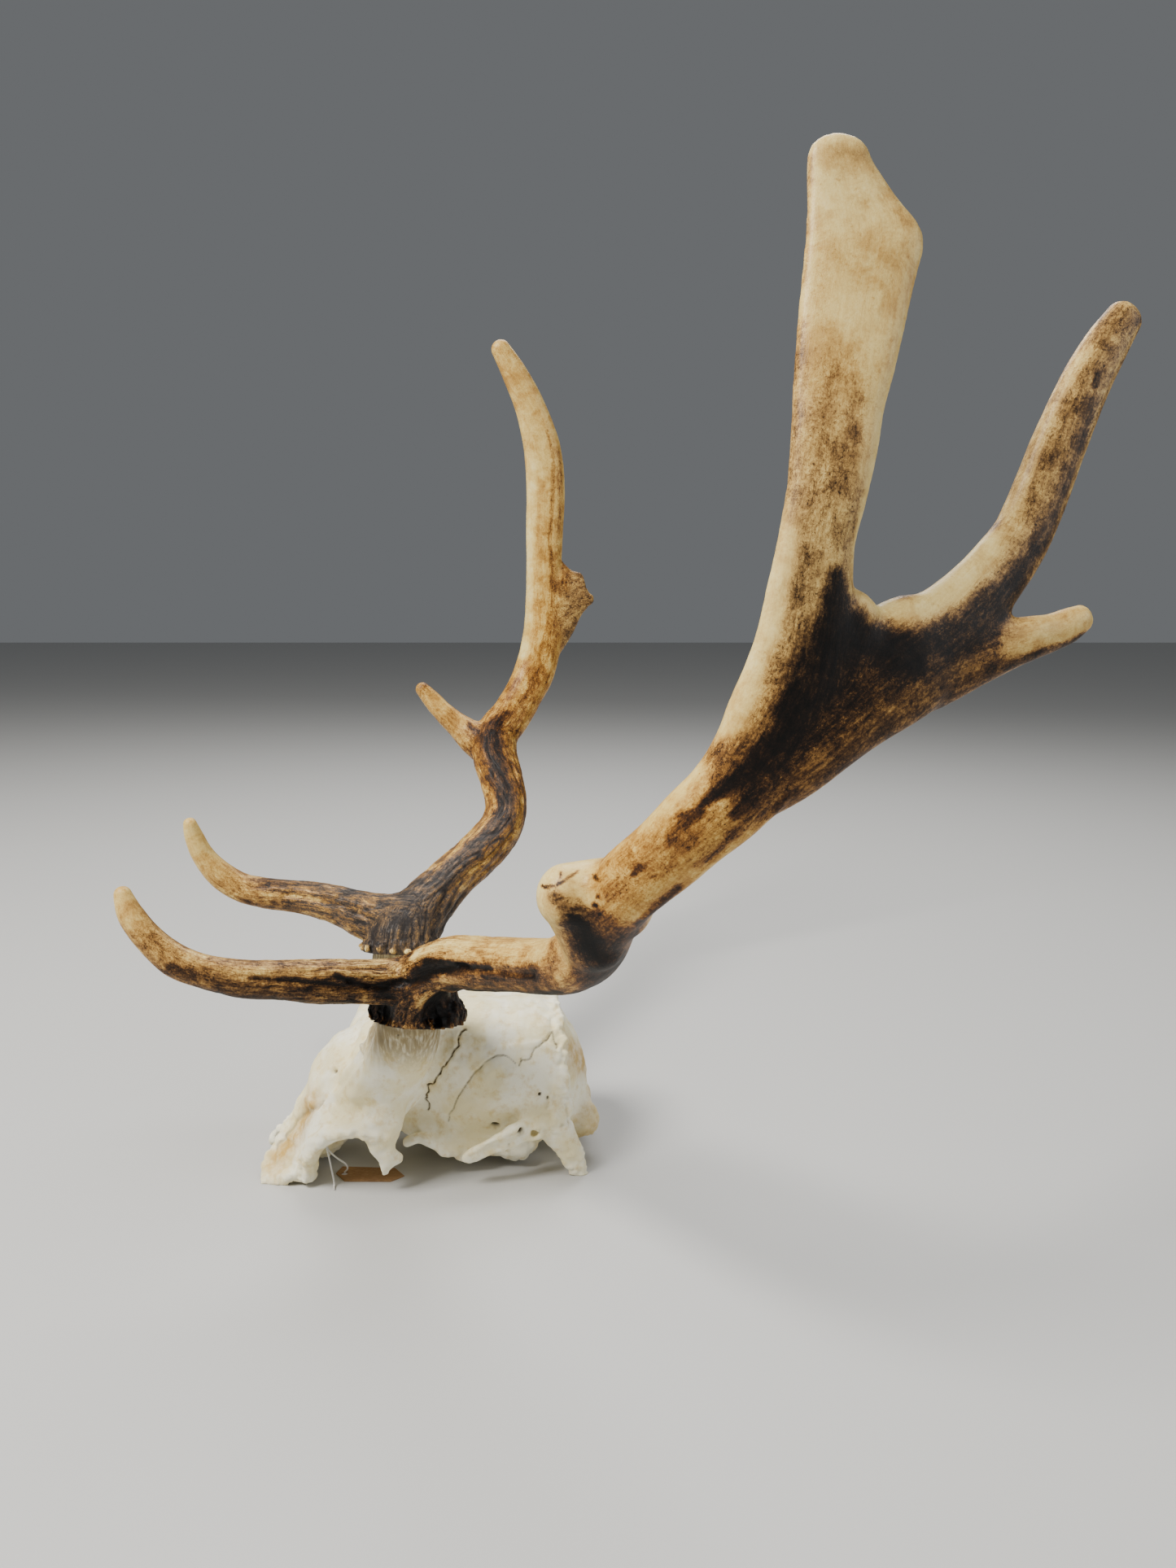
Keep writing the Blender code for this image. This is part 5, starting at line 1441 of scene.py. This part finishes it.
class Finish:
    """A material with one Principled shader, and short ways to feed it."""

    def __init__(self, name):
        self.material = bpy.data.materials.new(name)
        self.material.use_nodes = True
        self.tree = self.material.node_tree
        self.shader = self.tree.nodes["Principled BSDF"]

    def node(self, kind, settings=None, values=None, out=0):
        made = self.tree.nodes.new(kind)
        for key, value in (settings or {}).items():
            if key == "stops":
                self.set_stops(made.color_ramp, value)
            else:
                setattr(made, key, value)
        for key, value in (values or {}).items():
            if isinstance(value, Wire):
                self.tree.links.new(value.socket, made.inputs[key])
            else:
                made.inputs[key].default_value = value
        return Wire(self, made.outputs[out])

    @staticmethod
    def set_stops(ramp, stops):
        while len(ramp.elements) < len(stops):
            ramp.elements.new(1.0)
        for element, (position, colour) in zip(ramp.elements, stops):
            element.position = position
            element.color = (*colour, 1.0)

    def maths(self, operation, *numbers):
        return self.node("ShaderNodeMath", {"operation": operation}, dict(enumerate(numbers)))

    def attribute(self, name, out="Fac"):
        return self.node("ShaderNodeAttribute", {"attribute_name": name}, out=out)

    def place(self):
        return self.node("ShaderNodeTexCoord", out="Object")

    def stretched(self, vector, scale):
        return self.node("ShaderNodeVectorMath", {"operation": "MULTIPLY"}, {0: vector, 1: scale})

    def noise(self, vector, size, detail=2.0, roughness=0.5, warp=0.0):
        """Noise around 0.5 with bumps of one size, in millimetres."""
        return self.node("ShaderNodeTexNoise", values={
            "Vector": vector, "Scale": 1 / (size * MM), "Detail": detail, "Roughness": roughness,
            "Distortion": warp})

    def range(self, value, low, high, to_low=0.0, to_high=1.0):
        """A smooth step from one range to another."""
        return self.node("ShaderNodeMapRange", {"interpolation_type": "SMOOTHSTEP"}, {
            "Value": value, "From Min": low, "From Max": high, "To Min": to_low, "To Max": to_high})

    def ramp(self, value, stops):
        return self.node("ShaderNodeValToRGB", {"stops": stops}, {"Fac": value})

    def mix(self, factor, a, b, blend="MIX"):
        return self.node("ShaderNodeMix", {"data_type": "RGBA", "blend_type": blend},
                         {0: factor, 6: self.colour(a), 7: self.colour(b)}, out=2)

    @staticmethod
    def colour(value):
        return value if isinstance(value, Wire) else (*value, 1.0)

    def bump(self, height, distance, strength=1.0):
        return self.node("ShaderNodeBump", values={
            "Height": height, "Distance": distance * MM, "Strength": strength})

    def feed(self, **sockets):
        for name, value in sockets.items():
            socket = self.shader.inputs[name.replace("_", " ")]
            if isinstance(value, Wire):
                self.tree.links.new(value.socket, socket)
            else:
                socket.default_value = value


def paint(thing, material):
    """The object wears this material and no other."""
    thing.data.materials.clear()
    thing.data.materials.append(material)


def chip(code):
    """A paint chip's colour, from its six-digit code to the linear values that Blender mixes."""
    parts = [int(code[i:i + 2], 16) / 255 for i in (0, 2, 4)]
    return tuple(v / 12.92 if v <= 0.04045 else ((v + 0.055) / 1.055) ** 2.4 for v in parts)


print("mid tan:", tuple(round(v, 3) for v in chip("A97F45")))

# %% [markdown]
# ## Antler finish
#
# Antler is bone with a hard, polished skin. Its colour is read at the painted tone from two ramps,
# which both run from cream to nearly black, one through amber and one through grey-brown. Noise
# pushes the tone up and down so that stains end in specks and short hairs, streaks run the way
# the limb grew, and the ridges are rubbed paler than the gutters. A soft sheen and fine bump
# finish it.

# %% Antler finish
AMBER_RAMP = [(0.0, chip("E9D490")), (0.14, chip("DDBD6C")), (0.30, chip("BF9040")), (0.46, chip("8C5A1F")),
              (0.62, chip("4A2A0E")), (0.80, chip("180B04")), (1.0, chip("030201"))]
GREY_RAMP = [(0.0, chip("EAD8A0")), (0.14, chip("DDC480")), (0.30, chip("BF9F61")), (0.46, chip("8B6E43")),
             (0.62, chip("4C3821")), (0.80, chip("19110A")), (1.0, chip("030201"))]
GREY_DARK, GREY_LIGHT = chip("2E2927"), chip("907D66")


def antler_finish(name, greyness):
    finish = Finish(name)
    place = finish.place()
    grain = finish.attribute("grain", out="Vector")
    tone, ridge, gnarl, amber = (finish.attribute(key) for key in ("tone", "ridge", "gnarl", "amber"))

    def hairs(source, size, width):
        """Thin dark lines where a noise crosses its middle."""
        return 1.0 - finish.range(abs(finish.noise(source, size, detail=2.0, warp=1.5) - 0.5), 0.0, width)

    streak = finish.noise(finish.stretched(grain, (1.0, 1.0, 0.09)), 1.4, detail=3.0, roughness=0.6)
    cloud = finish.noise(place, 9.0, detail=6.0, roughness=0.70, warp=0.5)
    blotch = finish.noise(finish.stretched(grain, (1.0, 1.0, 0.5)), 2.6, detail=4.0, roughness=0.72, warp=0.8)
    speck = finish.noise(place, 0.9, detail=2.0, roughness=0.7)
    patchy = finish.range(finish.noise(place, 12.0, detail=2.0), 0.35, 0.60)
    hair = hairs(finish.stretched(grain, (1.0, 1.0, 0.4)), 1.5, 0.03) + hairs(place, 2.8, 0.02) * patchy
    crack = hairs(finish.stretched(grain, (1.0, 1.0, 0.08)), 1.5, 0.05) * gnarl
    # Stains break up most where they fade, less on bare cream, and least in the black.
    fading = finish.range(tone, 0.14, 0.42) * (1.0 - 0.3 * finish.range(tone, 0.74, 0.98))
    stained = tone + (cloud - 0.5) * (0.24 + 0.50 * fading) + (blotch - 0.5) * (0.12 + 0.50 * fading)
    stained = stained + (streak - 0.5) * (0.14 + 0.24 * fading) + (speck - 0.5) * (0.10 + 0.36 * fading)
    dark_hair = hair * (0.35 + finish.range(tone, 0.14, 0.36)) * (1.0 - finish.range(tone, 0.5, 0.65))
    light_hair = hair * finish.range(tone, 0.55, 0.72) * (1.0 - 0.6 * finish.range(tone, 0.84, 0.96))
    stained = stained + dark_hair * 0.15 - light_hair * 0.14
    mottle = finish.range(finish.noise(place, 15.0, detail=6.0, roughness=0.72, warp=0.4), 0.40, 0.64)
    fleck = finish.range(finish.noise(place, 1.5, detail=3.0, roughness=0.7), 0.58, 0.72) * patchy
    bare = 1.0 - finish.range(tone, 0.30, 0.60)
    stained = stained + bare * (mottle * 0.15 + fleck * 0.12 - 0.03)
    stained = stained + (0.58 - ridge) * 0.36 * gnarl + crack * 0.28
    colour = finish.mix(amber, finish.ramp(stained, GREY_RAMP), finish.ramp(stained, AMBER_RAMP))
    if greyness:
        grey = finish.mix(finish.range(stained, 0.3, 0.85), GREY_LIGHT, GREY_DARK)
        ash = finish.range(gnarl, 0.45, 1.0) * finish.range(stained, 0.40, 0.75) * greyness
        colour = finish.mix(ash, colour, grey)
    dust = finish.noise(place, 0.6, detail=2.0)
    height = streak * 0.5 + speck * 0.2 + dust * 0.2 + blotch * 0.5 * gnarl - crack * 0.9
    finish.feed(Base_Color=colour, Roughness=finish.range(stained, 0.1, 0.9, 0.36, 0.52),
                Normal=finish.bump(height, 0.25, 0.8), Specular_IOR_Level=0.2)
    return finish.material


paint(left_antler, antler_finish("left antler", greyness=0.0))
paint(right_antler, antler_finish("right antler", greyness=0.85))
print("antler finishes:", len(left_antler.active_material.node_tree.nodes), "nodes each")

# %% [markdown]
# ## Bone finish
#
# Clean, dry bone is ivory with white and faint yellow clouds, greyer on the pedicles and yellow
# round the neck joint and low on the broken brow. Dirt stays in the seams, and the small holes
# are darkened with painted shade.

# %% Bone finish
BONE, BONE_WHITE, BONE_WARM = chip("EBDFB2"), chip("F5F0D8"), chip("D6BC78")
# The last colour is dirt in the seams and painted shade in the small holes.
BONE_GREY, BONE_YELLOW, DIRT_AND_HOLE_SHADE = chip("8F7E59"), chip("BF9848"), chip("4A3A1C")


def bone_finish():
    finish = Finish("bone")
    place = finish.place()
    dirt = finish.attribute("dirt")
    stalk = finish.attribute("stalk")
    cloud = finish.noise(place, 22.0, detail=4.0, roughness=0.6)
    patch = finish.noise(place, 6.0, detail=4.0, roughness=0.65)
    pore = finish.noise(place, 0.9, detail=3.0, roughness=0.7)
    stripe = finish.noise(finish.stretched(place, (1.0, 1.0, 0.12)), 1.4, detail=3.0)
    colour = finish.mix(finish.range(cloud, 0.40, 0.62), BONE_WHITE, BONE)
    colour = finish.mix(finish.range(patch, 0.48, 0.70) * 0.6, colour, BONE_WARM)
    yellow = finish.attribute("yellow") * finish.range(patch, 0.3, 0.6, 0.5, 1.0)
    colour = finish.mix(yellow, colour, BONE_YELLOW)
    colour = finish.mix(stalk * finish.range(stripe, 0.25, 0.60, 0.45, 1.0), colour, BONE_GREY)
    colour = finish.mix(finish.range(pore, 0.60, 0.74) * 0.35, colour, BONE_WARM)
    # Dirt in the seams and painted shade in the small holes, in one dark colour.
    colour = finish.mix(finish.range(dirt, 0.25, 0.85) * finish.range(patch, 0.25, 0.5, 0.55, 1.0),
                        colour, DIRT_AND_HOLE_SHADE)
    height = patch * 0.6 + pore * 0.3 + stripe * stalk * 1.2
    finish.feed(Base_Color=colour, Roughness=finish.range(patch, 0.3, 0.7, 0.50, 0.64),
                Normal=finish.bump(height, 0.45, 0.9), Specular_IOR_Level=0.3)
    return finish.material


paint(skull, bone_finish())

# %% [markdown]
# ## Card and cotton
#
# The label is brown kraft card with short paper fibres. The string is white cotton, whose twist
# shows as fine bands.

# %% Card and string finishes
TWIST = 9000.0                  # radians a metre, so a band each 0.7 mm of height


def card_finish():
    finish = Finish("kraft card")
    place = finish.place()
    fibre = finish.noise(finish.stretched(place, (0.25, 1.0, 1.0)), 0.5, detail=3.0, roughness=0.7)
    cloud = finish.noise(place, 6.0, detail=2.0)
    colour = finish.mix(finish.range(fibre, 0.35, 0.65), chip("8A6742"), chip("A27E55"))
    colour = finish.mix(finish.range(cloud, 0.4, 0.7) * 0.4, colour, chip("7C5A38"))
    finish.feed(Base_Color=colour, Roughness=0.85, Normal=finish.bump(fibre, 0.06, 0.7))
    return finish.material


def cotton_finish():
    finish = Finish("cotton string")
    along = finish.node("ShaderNodeSeparateXYZ", values={0: finish.place()}, out=2)
    fibre = finish.noise(finish.place(), 0.35, detail=2.0)
    strand = finish.maths("SINE", along * TWIST + fibre * 5.0)
    colour = finish.mix(finish.range(strand, -1.0, 1.0), chip("CFCBC0"), chip("F2F0EA"))
    finish.feed(Base_Color=colour, Roughness=0.9, Normal=finish.bump(strand, 0.12, 0.8))
    return finish.material


paint(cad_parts["specimen_tag"], card_finish())
paint(string, cotton_finish())

# %% [markdown]
# ## Floor and light
#
# A plain pale floor and large soft lamps show the shape and the sheen without hard shadows. The
# key lamp stands high in front on the left, as the highlights in the photograph say.

# %% Floor and lamps
LAMPS = [
    # place, aim, side length, power, colour (metres, watts)
    ((-1.1, -0.65, 1.6), (0.0, -0.1, 0.2), 0.7, 70.0, (1.0, 0.98, 0.94)),
    ((1.3, -0.7, 0.8), (0.0, -0.1, 0.25), 0.9, 9.0, (0.97, 0.98, 1.0)),
    ((0.2, 0.9, 1.4), (0.0, 0.0, 0.25), 1.0, 20.0, (1.0, 1.0, 1.0)),
]
FLOOR_SIZE = 12.0
FLOOR_COLOUR = chip("BDBCB9")
SKY_COLOUR, SKY_STRENGTH = chip("C4C8CC"), 0.26


def lay_floor():
    finish = Finish("studio floor")
    finish.feed(Base_Color=(*FLOOR_COLOUR, 1.0), Roughness=0.6)
    mesh = bpy.data.meshes.new("floor")
    half = FLOOR_SIZE / 2
    corners = [(-half, -half, 0), (half, -half, 0), (half, half, 0), (-half, half, 0)]
    mesh.from_pydata(corners, [], [(0, 1, 2, 3)])
    mesh.materials.append(finish.material)
    floor = add_object("floor", mesh)
    floor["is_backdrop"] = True
    return floor


def hang_lamp(place, aim, size, power, colour):
    lamp = bpy.data.lights.new("lamp", "AREA")
    lamp.size, lamp.energy, lamp.color = size, power, colour
    thing = add_object("lamp", lamp)
    thing.location = place
    thing.rotation_euler = (Vector(aim) - Vector(place)).to_track_quat("-Z", "Y").to_euler()


floor = lay_floor()
for lamp in LAMPS:
    hang_lamp(*lamp)
world = bpy.data.worlds.new("studio")
bpy.context.scene.world = world
world.use_nodes = True
sky = world.node_tree.nodes["Background"].inputs
sky["Color"].default_value = (*SKY_COLOUR, 1.0)
sky["Strength"].default_value = SKY_STRENGTH

# %% Sizes of the CAD and the visual model
visual_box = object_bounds()
for label, (low, high) in (("CAD", cad_box), ("visual", visual_box)):
    print(label, [round(value / MM, 1) for value in (*low, *high)])
